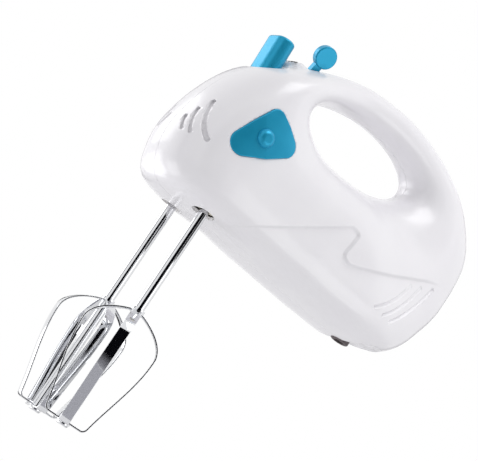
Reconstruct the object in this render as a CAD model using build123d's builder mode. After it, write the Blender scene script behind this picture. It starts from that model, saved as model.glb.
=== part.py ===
"""Hand mixer: clamshell body with a closed loop handle, worm drive, ejector, speed lever and two beaters.

Frame: origin midway between the two beater axes, in the plane of the underside. +X runs to the rear,
the nose points to -X, +Y is the mixer's right-hand side, +Z is up and the beaters hang along -Z.
All sizes are millimetres.
"""
from build123d import *
import math
import os

os.makedirs("parts", exist_ok=True)

# ---------------------------------------------------------------- clearances and fits
RUNNING_FIT = 0.06  # radial clearance of a turning shaft in its bush
SLIDING_GAP = 0.35  # gap around pieces that slide or swing
SEAT_GAP = 0.1  # gap between a piece and the seat that carries it
POCKET_GAP = 0.15  # gap around a trim piece in its pocket

# ---------------------------------------------------------------- body shell
WALL = 2.2
KEY_SHARE = 0.7  # part of the wall that inner features stay out of
OVERRUN = 1.0  # how far cuts and buried ends run past a face
OPENING_X = 72.0  # centre of the handle opening
OPENING_Z = 93.0
OPENING_HALF_LENGTH = 48.0
OPENING_HALF_HEIGHT = 18.0
OPENING_TILT = 7.0  # the opening rises to the rear
SHOULDER = 2.2  # exponent of the section's inner half, 2 is an ellipse

# Outline of the body in the parting plane, from the heel over the handle and nose to the underside.
# Each station: outline X, outline Z, half width there, exponent of the section's outer half.
STATIONS = (
    (184.0, 52.0, 27.5, 2.3),
    (182.0, 86.0, 24.0, 2.2),
    (161.0, 111.0, 20.0, 2.2),
    (135.0, 124.5, 17.5, 2.2),
    (112.0, 130.5, 16.0, 2.2),
    (91.0, 132.7, 15.2, 2.2),
    (72.0, 131.6, 15.0, 2.2),
    (56.0, 129.2, 15.5, 2.2),
    (44.0, 125.6, 16.5, 2.2),
    (31.5, 120.5, 18.5, 2.2),
    (17.0, 113.0, 22.5, 2.2),
    (0.0, 103.2, 28.0, 2.2),
    (-20.0, 86.5, 33.5, 2.2),
    (-33.5, 61.0, 36.5, 2.25),
    (-40.0, 33.0, 38.0, 2.4),
    (-36.5, 13.0, 38.5, 2.7),
    (-27.0, 2.5, 38.8, 3.3),
    (-8.0, 0.0, 39.0, 4.0),
    (14.0, 0.0, 39.2, 4.4),
    (40.0, 0.0, 39.3, 4.5),
    (80.0, 0.0, 39.5, 4.5),
    (118.0, 0.0, 38.8, 4.2),
    (146.0, 1.5, 37.0, 3.6),
    (164.0, 12.0, 34.0, 3.0),
    (176.0, 29.0, 31.0, 2.5),
)
SEAM_STATION = 12  # the first loft ends and the second starts here
SECTION_STEPS = 16
SECTIONS_PER_STATION = 4
SLANT_STEP = 0.01

# ---------------------------------------------------------------- drive
AXIS_SPACING = 35.0  # between the two beater axes
DRIVE_Z = 38.0  # height of the motor shaft
WHEEL_TEETH = 26
WORM_STARTS = 2
WHEEL_PITCH_RADIUS = 13.0
WHEEL_FACE = 8.0
TOOTH_ADDENDUM = 0.8
TOOTH_DEPTH = 1.9
WORM_LENGTH = 26.0
WORM_CORE_RADIUS = 3.5
THREAD_KEY = 0.2  # teeth and threads are keyed this far into their cores
THREAD_ROOT_THICKNESS = 1.5
THREAD_TIP_THICKNESS = 0.6
TOOTH_ROOT_THICKNESS = 1.5
TOOTH_TIP_THICKNESS = 0.6
HUB_RADIUS = 7.0
HUB_BOTTOM = 3.0
HUB_TOP = 60.0
NECK_RADIUS = 6.8  # lower end of the hub, seen in the socket
NECK_TOP = 12.0
SHAFT_RADIUS = 3.0  # motor shaft

# ---------------------------------------------------------------- gear frame
PLATE_THICKNESS = 4.0
LOWER_PLATE_Z = 14.0
UPPER_PLATE_Z = 54.0
PLATE_HALF_LENGTH = 23.0
PLATE_HALF_WIDTH = 16.0
PLATE_LOBE_RADIUS = 10.5
PILLAR_X = 18.0
PILLAR_Y = 12.0
PILLAR_RADIUS = 3.0
BRIDGE_THICKNESS = 4.0
BRIDGE_WIDTH = 16.0
BUSH_RADIUS = 5.0
CLIP_THICKNESS = 1.2
CLIP_WIDTH = 2.4

# ---------------------------------------------------------------- motor
STACK_START = 44.0
STACK_LENGTH = 24.0
STACK_WIDTH = 44.0
STACK_HEIGHT = 48.0
AIR_GAP = 0.6
ROTOR_RADIUS = 15.0
ROTOR_SLOTS = 12
WINDING_RADIUS = 12.0
WINDING_OVERHANG = 5.0
COMMUTATOR_RADIUS = 8.0
COMMUTATOR_LENGTH = 10.0
COMMUTATOR_BARS = 24
CAP_LENGTH = 27.0
CAP_WALL = 3.0
SHAFT_FRONT = -25.0
SHAFT_TAIL = 3.0
BRACKET_START = 33.0
BRACKET_WIDTH = 16.0
BRACKET_ARM = 4.0
FAN_DISC = 1.5
FAN_HUB_RADIUS = 6.0
FAN_HUB_KEY = 0.3
FAN_BLADE = 1.2
FAN_SWEEP = 25.0
SLOT_DEPTH = 6.0
SLOT_WIDTH = 2.6
WIRE_DEPTH = 4.5
WINDING_EDGE = 2.0
COMMUTATOR_GAP = 3.0
BAR_GAP_DEPTH = 0.8
BAR_GAP_WIDTH = 0.4
STACK_CORNER = 5.0
COIL_INNER = 15.9
COIL_OUTER = 18.7
COIL_MARGIN = 8.0  # degrees between the two coils
COIL_ANGLE = 32.0  # degrees from the parting line to the far side of a coil
WINDOW_MARGIN = 2.0
COIL_OVERHANG = 4.5
CAP_VENT_SPACING = 24.0
CAP_VENT_RADIUS = 3.5
CAP_CHAMFER = 2.0
TUBE_GAP = 1.5
TUBE_PROUD = 2.0
BRUSH_GAP = 0.1
BRUSH_CAP_RIM = 0.8
BRUSH_CAP_THICKNESS = 1.5
FAN_START = 23.5
FAN_RADIUS = 21.0
FAN_BLADES = 11
FAN_DEPTH = 7.0
BRUSH_SIDE = 5.0
BRUSH_LENGTH = 10.0
BRUSH_TUBE_RADIUS = 4.6

# ---------------------------------------------------------------- ejector
BUTTON_X = -9.2  # where the button's axis meets the crest
BUTTON_Z = 95.4
BUTTON_LEAN = 2.6  # the plunger leans towards the nose
BUTTON_LENGTH = 12.5
BUTTON_WIDTH = 19.5
BUTTON_RISE = 18.5
BUTTON_SINK = 12.0
BUTTON_EDGE = 1.6
STOP_THICKNESS = 2.0
STOP_RIM = 1.5
STEM_RADIUS = 4.0
EJECT_TRAVEL = 8.0
EJECTOR_PLATE_THICKNESS = 3.0
PIN_HEAD_RADIUS = 4.5
PIN_HEAD_HEIGHT = 2.0
PIN_PLAY = 1.0  # between a fully pressed pin head and its hub
SPRING_RADIUS = 5.0
SPRING_WIRE = 0.9
SPRING_TURNS = 5
SPRING_LENGTH = 12.9
SPRING_X = -2.0
PLATE_SHIFT = -4.5

# ---------------------------------------------------------------- speed control
LEVER_X = 15.2
LEVER_PIVOT_Z = 98.0
LEVER_LEAN = 18.7  # rest position, leaning to the left-hand side
LEVER_LENGTH = 24.9  # pivot to the middle of the thumb disc
LEVER_THICKNESS = 5.0
LEVER_DEPTH = 4.0
THUMB_RADIUS = 6.9
THUMB_THICKNESS = 5.0
LEVER_HUB_RADIUS = 5.0
PIVOT_RADIUS = 1.5
TAIL_LENGTH = 12.0
TAIL_RADIUS = 1.5
SLIDER_HEIGHT = 4.0
SLIDER_LENGTH = 10.0
SWITCH_HEIGHT = 8.0
SWITCH_WIDTH = 30.0
LEVER_HUB_WIDTH = 6.0
TAIL_WIDTH = 4.0
EAR_THICKNESS = 1.9
THUMB_EDGE = 0.8
SLIDER_PLAY = 0.6
SLIDER_FLOOR = 1.2

# ---------------------------------------------------------------- beaters
BEATER_SHAFT_RADIUS = 3.0
BEATER_INSERTION = 30.0
BEATER_SHOULDER = 65.4  # exposed shaft above the loops
LOOP_HEIGHT = 73.0
LOOP_RADIUS = 24.3
LOOP_FOOT_RADIUS = 14.2
LOOP_CHEEK = 19.0  # widest place below the shoulder
LOOP_DROOP = 0.35  # slope at which the strips leave the collar
LOOP_BEND = 4.0
STRIP_GAP = 0.05
RIVET_RADIUS = 3.6
RIVET_HEIGHT = 1.4
RIVET_CROWN = 0.8  # share of the rivet height that is rounded
SHAFT_CHAMFER = 0.8
STRIP_WIDTH = 6.3
STRIP_THICKNESS = 0.9
COLLAR_RADIUS = 4.0
COLLAR_HEIGHT = 1.2
LUG_REACH = 4.3
LUG_WIDTH = 2.0
LUG_Z = 5.0
LUG_HEIGHT = 6.0
LUG_GAP = 0.3
LEFT_BEATER_TURN = 60.5
RIGHT_BEATER_TURN = 78.5

# ---------------------------------------------------------------- details inside and on the shell
VENT_TURN = 35.0  # the vents face this far round from the nose
VENT_REACH = 80.0
VENTS = (  # top and bottom end in the vents' own plane, bow and width
    ((-15.1, 38.8), (-11.8, 30.8), 0.7, 2.4),
    ((-10.8, 45.5), (-5.2, 30.5), 1.6, 2.6),
    ((-5.4, 52.8), (6.1, 30.8), 3.4, 3.2),
)
CRADLE_INSET = 5.0
CRADLE_THICKNESS = 2.0
CRADLE_WIDTH = 44.0
SWITCH_Z = 74.0
SHELF_LENGTH = 12.0
SHELF_THICKNESS = 2.5
SHELF_LAP = 4.0
LEVER_SLOT_WIDTH = 14.4

# ---------------------------------------------------------------- trim and fasteners
BADGE_ROUNDS = (  # X, Z and radius of the circles that the outline is drawn around
    (-4.9, 63.3, 6.0),
    (2.3, 59.5, 6.7),
    (9.5, 55.7, 6.5),
    (-2.5, 48.1, 7.8),
    (-14.5, 40.5, 7.2),
    (-9.7, 51.9, 7.0),
)
BADGE_SINK = 1.0
BADGE_RISE = 0.6
BADGE_REACH = 5.0
BADGE_BED = 37.4  # the cap's bed, this far from the parting plane
CAP_X = -5.1
CAP_Z = 50.5
BADGE_CAP_RADIUS = 5.6
BADGE_CAP_RISE = 4.4
CAP_EDGE = 0.8
SOCKET_RADIUS = 7.2
SOCKET_DEPTH = 5.2
SCREWS = (  # X, Z and how far right of the parting plane the head is seated
    (-30.5, 30.0, 12.0),
    (30.0, 8.5, 12.0),
    (112.0, 9.5, 12.0),
    (168.0, 66.0, 10.0),
    (90.0, 122.0, 8.0),
)
SCREW_RADIUS = 1.75
SCREW_HEAD_RADIUS = 3.3
SCREW_HEAD_HEIGHT = 2.2
SCREW_LENGTH = 18.0
CROSS_LENGTH = 3.6
CROSS_WIDTH = 0.8
CROSS_DEPTH = 1.2
BOSS_RADIUS = 4.6
GLAND_X = 138.0
GLAND_BORE_RADIUS = 3.5
GLAND_NECK_RADIUS = 6.0
GLAND_FLANGE_RADIUS = 8.0
GLAND_FLANGE_THICKNESS = 2.5
GLAND_TIP = -0.5
GLAND_SEAT = 8.2  # underside of the flange
GLAND_EDGE = 1.0
RECESS_X = 146.0
RECESS_Z = 1.8
RECESS_TILT = 12.0
RECESS_DEPTH = 4.0
RECESS_LENGTH = 22.0


# ---------------------------------------------------------------- derived places
SIDES = {"left": -1, "right": 1}
DRIVE_AXIS = Axis((0, 0, DRIVE_Z), (1, 0, 0))
HALF_REACH = 60.0  # further out than any side of the body
STACK_BOTTOM = DRIVE_Z - STACK_HEIGHT / 2
STACK_END = STACK_START + STACK_LENGTH
CAP_END = STACK_END + CAP_LENGTH
PITCH = 2 * math.pi * WHEEL_PITCH_RADIUS / WHEEL_TEETH
WORM_LEAD = WORM_STARTS * PITCH
WORM_PITCH_RADIUS = AXIS_SPACING / 2 - WHEEL_PITCH_RADIUS
BEATER_FOOT = BEATER_SHOULDER + LOOP_HEIGHT
EJECT_PLANE = Plane(
    origin=(BUTTON_X, 0, BUTTON_Z),
    x_dir=(math.cos(math.radians(BUTTON_LEAN)), 0, math.sin(math.radians(BUTTON_LEAN))),
    z_dir=(-math.sin(math.radians(BUTTON_LEAN)), 0, math.cos(math.radians(BUTTON_LEAN))),
)
PIN_TOP = HUB_TOP + PIN_PLAY + EJECT_TRAVEL + PIN_HEAD_HEIGHT
LEVER_PLANE = Plane(
    origin=(LEVER_X, 0, LEVER_PIVOT_Z),
    x_dir=(1, 0, 0),
    z_dir=(0, -math.sin(math.radians(LEVER_LEAN)), math.cos(math.radians(LEVER_LEAN))),
)


def across(x: float) -> Plane:
    """Plane square to the motor shaft, centred on it, with its local axes along Y and Z."""
    return Plane(origin=(x, 0, DRIVE_Z), x_dir=(0, 1, 0), z_dir=(1, 0, 0))


def save(builder: BuildPart, name: str) -> None:
    """Label one finished piece and write it to its own STEP file."""
    builder.part.label = name
    export_step(builder.part, f"parts/{name}.step")


# ---------------------------------------------------------------- body surface
def station(place: float) -> list[float]:
    """Outline X, outline Z, half width and exponent, smoothly between the stations around the loop."""
    first = math.floor(place)
    part = place - first
    before, here, after, beyond = (STATIONS[(first + step) % len(STATIONS)] for step in (-1, 0, 1, 2))
    values = []
    for p0, p1, p2, p3 in zip(before, here, after, beyond):
        slope_1 = (p2 - p0) / 2
        slope_2 = (p3 - p1) / 2
        cubic = 2 * p1 - 2 * p2 + slope_1 + slope_2
        square = 3 * p2 - 3 * p1 - 2 * slope_1 - slope_2
        values.append(p1 + part * (slope_1 + part * (square + part * cubic)))
    return values


def opening_radius(angle: float) -> float:
    """Distance from the opening's centre to its rim, in the direction of an angle in radians."""
    turned = angle - math.radians(OPENING_TILT)
    return 1 / math.hypot(math.cos(turned) / OPENING_HALF_LENGTH, math.sin(turned) / OPENING_HALF_HEIGHT)


def section_wire(place: float, inset: float) -> Wire:
    """Closed section of the body at one place on the loop, inset from the skin on every side."""
    out_x, out_z, half_width, exponent = station(place)
    ahead = station(place + SLANT_STEP)
    radial = Vector(out_x - OPENING_X, 0, out_z - OPENING_Z)
    direction = radial.normalized()
    tangent = Vector(ahead[0] - out_x, 0, ahead[1] - out_z).normalized()
    inner = opening_radius(math.atan2(radial.Z, radial.X)) + inset
    outer = radial.length - inset / abs(tangent.cross(direction).Y)
    middle = (inner + outer) / 2
    reach = (outer - inner) / 2
    plane = Plane(origin=(OPENING_X, 0, OPENING_Z), x_dir=direction, z_dir=(-direction.Z, 0, direction.X))
    even_steps = [step / SECTION_STEPS for step in range(SECTION_STEPS + 1)]
    halves = []
    for side in SIDES.values():
        points = []
        for step in range(SECTION_STEPS + 1):
            turn = math.pi * (1 - step / SECTION_STEPS)
            power = 2 / (exponent if 2 * step > SECTION_STEPS else SHOULDER)
            along = math.copysign(abs(math.cos(turn)) ** power, math.cos(turn))
            across_out = side * (half_width - inset) * abs(math.sin(turn)) ** power
            points.append(plane.from_local_coords(Vector(middle + reach * along, across_out)))
        points[0] = plane.from_local_coords(Vector(inner, 0))
        points[-1] = plane.from_local_coords(Vector(outer, 0))
        halves.append(Edge.make_spline(points, parameters=even_steps))
    return Wire(halves)


def body_ring(inset: float) -> Solid:
    """Whole body inset from the skin, as one closed ring around the handle opening."""
    count = len(STATIONS)
    faces = []
    for start, end in ((0, SEAM_STATION), (SEAM_STATION, count)):
        steps = (end - start) * SECTIONS_PER_STATION
        sections = [section_wire(start + step / SECTIONS_PER_STATION, inset) for step in range(steps + 1)]
        faces += Solid.make_loft(sections).faces().filter_by(GeomType.PLANE, reverse=True)
    return Solid(Shell(Face.sew_faces(faces)[0]))


SKIN = body_ring(0)
CAVITY = body_ring(WALL)
KEY = body_ring(WALL * KEY_SHARE)  # inner features are keyed a little way into the wall


# ---------------------------------------------------------------- housing halves
def badge_slice(side: int, gap: float, sink: float, rise: float) -> Part:
    """Slice of the body's surface under the badge outline, from below the skin to above it."""
    with BuildPart() as plate:
        with BuildSketch(Plane.XZ):
            for x, z, radius in BADGE_ROUNDS:
                with Locations((x, z)):
                    Circle(radius + gap)
            make_hull()
        extrude(amount=-side * HALF_REACH)
        add(body_ring(-rise), mode=Mode.INTERSECT)
        add(body_ring(sink), mode=Mode.SUBTRACT)
    return plate.part


def vent_cutters(side: int) -> Part:
    """Curved slots through the nose, lengthening towards the rear."""
    turn = math.radians(VENT_TURN)
    forward = Vector(-math.cos(turn), side * math.sin(turn), 0)
    backward = Vector(math.sin(turn), side * math.cos(turn), 0)
    with BuildPart() as cutters:
        for top, bottom, bow, width in VENTS:
            with BuildSketch(Plane(origin=(0, 0, 0), x_dir=backward, z_dir=forward)) as slot:
                flip = slot.workplanes[0].y_dir.Z  # the plane's own upright may point down
                middle = ((top[0] + bottom[0]) / 2 - bow, (top[1] + bottom[1]) / 2)
                places = [(x, flip * z) for x, z in (top, middle, bottom)]
                SlotArc(ThreePointArc(*places, mode=Mode.PRIVATE), width)
            extrude(amount=VENT_REACH)
    return cutters.part


with BuildPart() as inner_features:
    # screw bosses run from wall to wall and are drilled later
    with BuildSketch(Plane.XZ):
        with Locations(*[(x, z) for x, z, seat in SCREWS]):
            Circle(BOSS_RADIUS)
    extrude(amount=HALF_REACH, both=True)
    # cradle ribs under the motor
    for rib_x in (STACK_START + CRADLE_INSET, STACK_END - CRADLE_INSET):
        with BuildSketch(Plane.YZ.offset(rib_x - CRADLE_THICKNESS / 2)):
            with Locations((0, (STACK_BOTTOM - SEAT_GAP) / 2)):
                Rectangle(CRADLE_WIDTH, STACK_BOTTOM - SEAT_GAP)
        extrude(amount=CRADLE_THICKNESS)
    # shelves that carry the speed switch
    with BuildSketch(Plane.XY.offset(SWITCH_Z - SEAT_GAP)):
        with Locations((LEVER_X, 0)):
            Rectangle(SHELF_LENGTH, 2 * HALF_REACH)
            Rectangle(SHELF_LENGTH, SWITCH_WIDTH - 2 * SHELF_LAP, mode=Mode.SUBTRACT)
    extrude(amount=-SHELF_THICKNESS)
    add(KEY, mode=Mode.INTERSECT)

with BuildPart() as openings:
    # beater sockets in the underside
    with BuildSketch(Plane.XY.offset(-OVERRUN)):
        with Locations((0, -AXIS_SPACING / 2), (0, AXIS_SPACING / 2)):
            Circle(SOCKET_RADIUS)
    extrude(amount=SOCKET_DEPTH + OVERRUN)
    # slot for the eject button
    with BuildSketch(EJECT_PLANE.offset(-BUTTON_SINK)):
        SlotOverall(BUTTON_WIDTH + 2 * SLIDING_GAP, BUTTON_LENGTH + 2 * SLIDING_GAP, rotation=90)
    extrude(amount=BUTTON_SINK + BUTTON_RISE)
    # slot for the speed lever
    with BuildSketch(Plane.XY.offset(LEVER_PIVOT_Z + LEVER_HUB_RADIUS)):
        with Locations((LEVER_X, 0)):
            Rectangle(LEVER_THICKNESS + 2 * SLIDING_GAP, LEVER_SLOT_WIDTH)
    extrude(amount=LEVER_LENGTH)
    # recess in front of the heel and the hole for the cord gland
    with BuildSketch(Plane.XZ):
        with Locations((RECESS_X, RECESS_Z)):
            Ellipse(RECESS_LENGTH / 2, RECESS_DEPTH, rotation=RECESS_TILT)
    extrude(amount=HALF_REACH, both=True)

with BuildPart() as recess_wall:
    # the skin follows the recess inwards, and a boss in front of it carries the cord gland
    with BuildSketch(Plane.XZ):
        with Locations((RECESS_X, RECESS_Z)):
            Ellipse(RECESS_LENGTH / 2 + WALL, RECESS_DEPTH + WALL, rotation=RECESS_TILT)
    extrude(amount=HALF_REACH, both=True)
    with BuildSketch():
        with Locations((GLAND_X, 0)):
            Circle(GLAND_FLANGE_RADIUS)
    extrude(amount=GLAND_SEAT)
    add(KEY, mode=Mode.INTERSECT)

with BuildPart() as gland_hole:
    with BuildSketch():
        with Locations((GLAND_X, 0)):
            Circle(GLAND_NECK_RADIUS)
    extrude(amount=GLAND_SEAT + GLAND_FLANGE_THICKNESS)

with BuildPart() as screw_holes:
    # counterbored from the right, blind in the left half
    for x, z, seat in SCREWS:
        with BuildSketch(Plane.XZ.offset(-seat)):
            with Locations((x, z)):
                Circle(SCREW_HEAD_RADIUS + POCKET_GAP)
        extrude(amount=-HALF_REACH)
        with BuildSketch(Plane.XZ.offset(-seat)):
            with Locations((x, z)):
                Circle(SCREW_RADIUS)
        extrude(amount=SCREW_LENGTH + OVERRUN)

for name, side in SIDES.items():
    with BuildPart() as housing:
        add(SKIN)
        add(CAVITY, mode=Mode.SUBTRACT)
        add(inner_features.part)
        add(recess_wall.part)
        add(openings.part, mode=Mode.SUBTRACT)
        split(bisect_by=Plane.XZ, keep=Keep.TOP if side < 0 else Keep.BOTTOM)
        add(gland_hole.part, mode=Mode.SUBTRACT)
        add(screw_holes.part, mode=Mode.SUBTRACT)
        add(vent_cutters(side), mode=Mode.SUBTRACT)
        add(badge_slice(side, POCKET_GAP, BADGE_SINK, BADGE_REACH), mode=Mode.SUBTRACT)
    save(housing, f"housing_{name}")


# ---------------------------------------------------------------- trim, gland and screws
for name, side in SIDES.items():
    with BuildPart() as badge:
        add(badge_slice(side, 0, BADGE_SINK, BADGE_RISE))
        # flat bed for the cap
        with BuildSketch(Plane.XZ.offset(-side * BADGE_BED)):
            with Locations((CAP_X, CAP_Z)):
                Circle(BADGE_CAP_RADIUS)
        extrude(amount=-side * BADGE_REACH, mode=Mode.SUBTRACT)
    save(badge, f"{name}_badge")

    with BuildPart() as badge_cap:
        with BuildSketch(Plane.XZ.offset(-side * BADGE_BED)):
            with Locations((CAP_X, CAP_Z)):
                Circle(BADGE_CAP_RADIUS - POCKET_GAP)
        extrude(amount=-side * BADGE_CAP_RISE)
        rim = badge_cap.edges().sort_by(Axis.Y)[-1 if side > 0 else 0]
        fillet(rim, BADGE_CAP_RISE - CAP_EDGE)
    save(badge_cap, f"{name}_badge_cap")

with BuildPart() as cord_gland:
    with BuildSketch(Plane.XY.offset(GLAND_TIP)):
        with Locations((GLAND_X, 0)):
            Circle(GLAND_NECK_RADIUS)
    extrude(amount=GLAND_SEAT + GLAND_FLANGE_THICKNESS - GLAND_TIP)
    with BuildSketch(Plane.XY.offset(GLAND_SEAT)):
        with Locations((GLAND_X, 0)):
            Circle(GLAND_FLANGE_RADIUS)
    extrude(amount=GLAND_FLANGE_THICKNESS)
    fillet(cord_gland.edges().sort_by(Axis.Z)[0], GLAND_EDGE)
    with Locations((GLAND_X, 0, GLAND_TIP)):
        Hole(GLAND_BORE_RADIUS)
save(cord_gland, "cord_gland")

with BuildPart() as housing_screws:
    for x, z, seat in SCREWS:
        with BuildSketch(Plane.XZ.offset(-seat)):
            with Locations((x, z)):
                Circle(SCREW_HEAD_RADIUS)
        extrude(amount=-SCREW_HEAD_HEIGHT)
        with BuildSketch(Plane.XZ.offset(-seat)):
            with Locations((x, z)):
                Circle(SCREW_RADIUS)
        extrude(amount=SCREW_LENGTH)
        with BuildSketch(Plane.XZ.offset(-seat - SCREW_HEAD_HEIGHT)):
            with Locations((x, z)):
                Rectangle(CROSS_LENGTH, CROSS_WIDTH)
                Rectangle(CROSS_WIDTH, CROSS_LENGTH)
        extrude(amount=CROSS_DEPTH, mode=Mode.SUBTRACT)
save(housing_screws, "housing_screws")

# ---------------------------------------------------------------- gear frame
HUB_PLACES = ((0, -AXIS_SPACING / 2), (0, AXIS_SPACING / 2))
PILLAR_PLACES = [(x, y) for x in (-PILLAR_X, PILLAR_X) for y in (-PILLAR_Y, PILLAR_Y)]


def frame_plate(height: float) -> Sketch:
    """Plate outline with a lobe and a running bore around each hub."""
    with BuildSketch(Plane.XY.offset(height), mode=Mode.PRIVATE) as outline:
        Rectangle(2 * PLATE_HALF_LENGTH, 2 * PLATE_HALF_WIDTH)
        with Locations(*HUB_PLACES):
            Circle(PLATE_LOBE_RADIUS)
        with Locations(*HUB_PLACES):
            Circle(HUB_RADIUS + RUNNING_FIT, mode=Mode.SUBTRACT)
    return outline.sketch


with BuildPart() as lower_gear_plate:
    extrude(frame_plate(LOWER_PLATE_Z), amount=PLATE_THICKNESS)
    # legs down to the housing floor, pillars up to the upper plate
    with BuildSketch():
        with Locations(*PILLAR_PLACES):
            Circle(PILLAR_RADIUS)
    extrude(amount=UPPER_PLATE_Z)
    # block that carries the front end of the motor shaft
    with BuildSketch(Plane.YZ.offset(-PLATE_HALF_LENGTH)):
        with Locations((0, (LOWER_PLATE_Z + UPPER_PLATE_Z) / 2)):
            Rectangle(BRIDGE_WIDTH, UPPER_PLATE_Z - LOWER_PLATE_Z)
        with Locations((0, DRIVE_Z)):
            Circle(BUSH_RADIUS, mode=Mode.SUBTRACT)
    extrude(amount=BRIDGE_THICKNESS)
    add(body_ring(WALL + SEAT_GAP), mode=Mode.INTERSECT)
save(lower_gear_plate, "lower_gear_plate")

with BuildPart() as upper_gear_plate:
    extrude(frame_plate(UPPER_PLATE_Z), amount=PLATE_THICKNESS)
save(upper_gear_plate, "upper_gear_plate")

# ---------------------------------------------------------------- worm and worm wheels
with BuildPart() as worm:
    with BuildSketch(across(-WORM_LENGTH / 2)):
        Circle(WORM_CORE_RADIUS)
        Circle(SHAFT_RADIUS, mode=Mode.SUBTRACT)
    extrude(amount=WORM_LENGTH)
    thread_length = WORM_LENGTH - 2 * PITCH
    thread_root = WORM_CORE_RADIUS - THREAD_KEY
    thread_tip = WORM_PITCH_RADIUS + TOOTH_ADDENDUM
    helix = Helix(
        pitch=WORM_LEAD,
        height=thread_length,
        radius=thread_root,
        center=(0, 0, DRIVE_Z),
        direction=(1, 0, 0),
        mode=Mode.PRIVATE,
    )
    start = helix @ 0
    start_turn = math.atan2(start.Z - DRIVE_Z, start.Y)
    # a thread crest faces each wheel half a pitch away from its middle
    crest_shift = PITCH / 2 + WORM_LEAD * start_turn / (2 * math.pi) - 4 * PITCH
    outward = Vector(0, start.Y, start.Z - DRIVE_Z).normalized()
    profile = Plane(origin=start, x_dir=outward, z_dir=Vector(1, 0, 0).cross(outward))
    with BuildSketch(profile) as tooth:
        with BuildLine():
            Polyline(
                (0, -THREAD_ROOT_THICKNESS / 2),
                (thread_tip - thread_root, -THREAD_TIP_THICKNESS / 2),
                (thread_tip - thread_root, THREAD_TIP_THICKNESS / 2),
                (0, THREAD_ROOT_THICKNESS / 2),
                close=True,
            )
        make_face()
    thread = sweep(tooth.sketch, path=helix, is_frenet=True, mode=Mode.PRIVATE)
    for index in range(WORM_STARTS):
        add(thread.rotate(DRIVE_AXIS, 360 * index / WORM_STARTS).translate((crest_shift, 0, 0)))
save(worm, "worm")

TWIST = math.degrees(WORM_LEAD / (2 * math.pi) / WORM_PITCH_RADIUS / WHEEL_PITCH_RADIUS)  # per mm of face
WHEEL_TIP_RADIUS = WHEEL_PITCH_RADIUS + TOOTH_ADDENDUM
WHEEL_ROOT_RADIUS = WHEEL_TIP_RADIUS - TOOTH_DEPTH


def wheel_tooth(facing: float) -> Part:
    """One slanted tooth of a worm wheel about the Z axis, facing an angle at mid face."""
    with BuildPart() as tooth:
        for rise in (-WHEEL_FACE / 2, WHEEL_FACE / 2):
            turned = facing + TWIST * rise
            plane = Plane(
                origin=(0, 0, DRIVE_Z + rise),
                x_dir=(math.cos(math.radians(turned)), math.sin(math.radians(turned)), 0),
                z_dir=(0, 0, 1),
            )
            with BuildSketch(plane):
                with BuildLine():
                    Polyline(
                        (WHEEL_ROOT_RADIUS - THREAD_KEY, -TOOTH_ROOT_THICKNESS / 2),
                        (WHEEL_TIP_RADIUS, -TOOTH_TIP_THICKNESS / 2),
                        (WHEEL_TIP_RADIUS, TOOTH_TIP_THICKNESS / 2),
                        (WHEEL_ROOT_RADIUS - THREAD_KEY, TOOTH_ROOT_THICKNESS / 2),
                        close=True,
                    )
                make_face()
        loft(ruled=True)
    return tooth.part


for name, side in SIDES.items():
    turn = LEFT_BEATER_TURN if side < 0 else RIGHT_BEATER_TURN
    beater_axis = Plane(origin=(0, side * AXIS_SPACING / 2, 0))
    tooth = wheel_tooth(-90 * side)

    with BuildPart() as worm_wheel:
        with BuildSketch(beater_axis.offset(HUB_BOTTOM)):
            Circle(NECK_RADIUS)
        extrude(amount=HUB_TOP - HUB_BOTTOM)
        with BuildSketch(beater_axis.offset(NECK_TOP)):
            Circle(HUB_RADIUS)
        extrude(amount=HUB_TOP - NECK_TOP)
        with BuildSketch(beater_axis.offset(DRIVE_Z - WHEEL_FACE / 2)):
            Circle(WHEEL_ROOT_RADIUS)
        extrude(amount=WHEEL_FACE)
        for index in range(WHEEL_TEETH):
            add(tooth.rotate(Axis.Z, 360 * index / WHEEL_TEETH).translate(beater_axis.origin))
        # bore for the beater and the push pin, with slots for the beater's drive lugs
        with BuildSketch(beater_axis.offset(HUB_BOTTOM)):
            Circle(BEATER_SHAFT_RADIUS + RUNNING_FIT)
        extrude(amount=HUB_TOP - HUB_BOTTOM, mode=Mode.SUBTRACT)
        with BuildSketch(beater_axis.rotated((0, 0, turn)).offset(HUB_BOTTOM)):
            Rectangle(2 * (LUG_REACH + LUG_GAP), LUG_WIDTH + 2 * LUG_GAP)
        extrude(amount=LUG_Z + LUG_HEIGHT + LUG_GAP - HUB_BOTTOM, mode=Mode.SUBTRACT)
    save(worm_wheel, f"{name}_worm_wheel")

    with BuildPart() as hub_clip:
        with BuildSketch(beater_axis.offset(UPPER_PLATE_Z + PLATE_THICKNESS + SEAT_GAP)):
            Circle(HUB_RADIUS + CLIP_WIDTH)
            Circle(HUB_RADIUS, mode=Mode.SUBTRACT)
        extrude(amount=CLIP_THICKNESS)
    save(hub_clip, f"{name}_hub_clip")

    with BuildPart() as push_pin:
        with BuildSketch(beater_axis.offset(BEATER_INSERTION + SEAT_GAP)):
            Circle(BEATER_SHAFT_RADIUS)
        extrude(amount=PIN_TOP - BEATER_INSERTION - SEAT_GAP)
        with BuildSketch(beater_axis.offset(PIN_TOP - PIN_HEAD_HEIGHT)):
            Circle(PIN_HEAD_RADIUS)
        extrude(amount=PIN_HEAD_HEIGHT)
    save(push_pin, f"{name}_push_pin")

# ---------------------------------------------------------------- motor
with BuildPart() as motor_shaft:
    with BuildSketch(across(SHAFT_FRONT)):
        Circle(SHAFT_RADIUS)
    extrude(amount=CAP_END + SHAFT_TAIL - SHAFT_FRONT)
save(motor_shaft, "motor_shaft")

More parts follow.
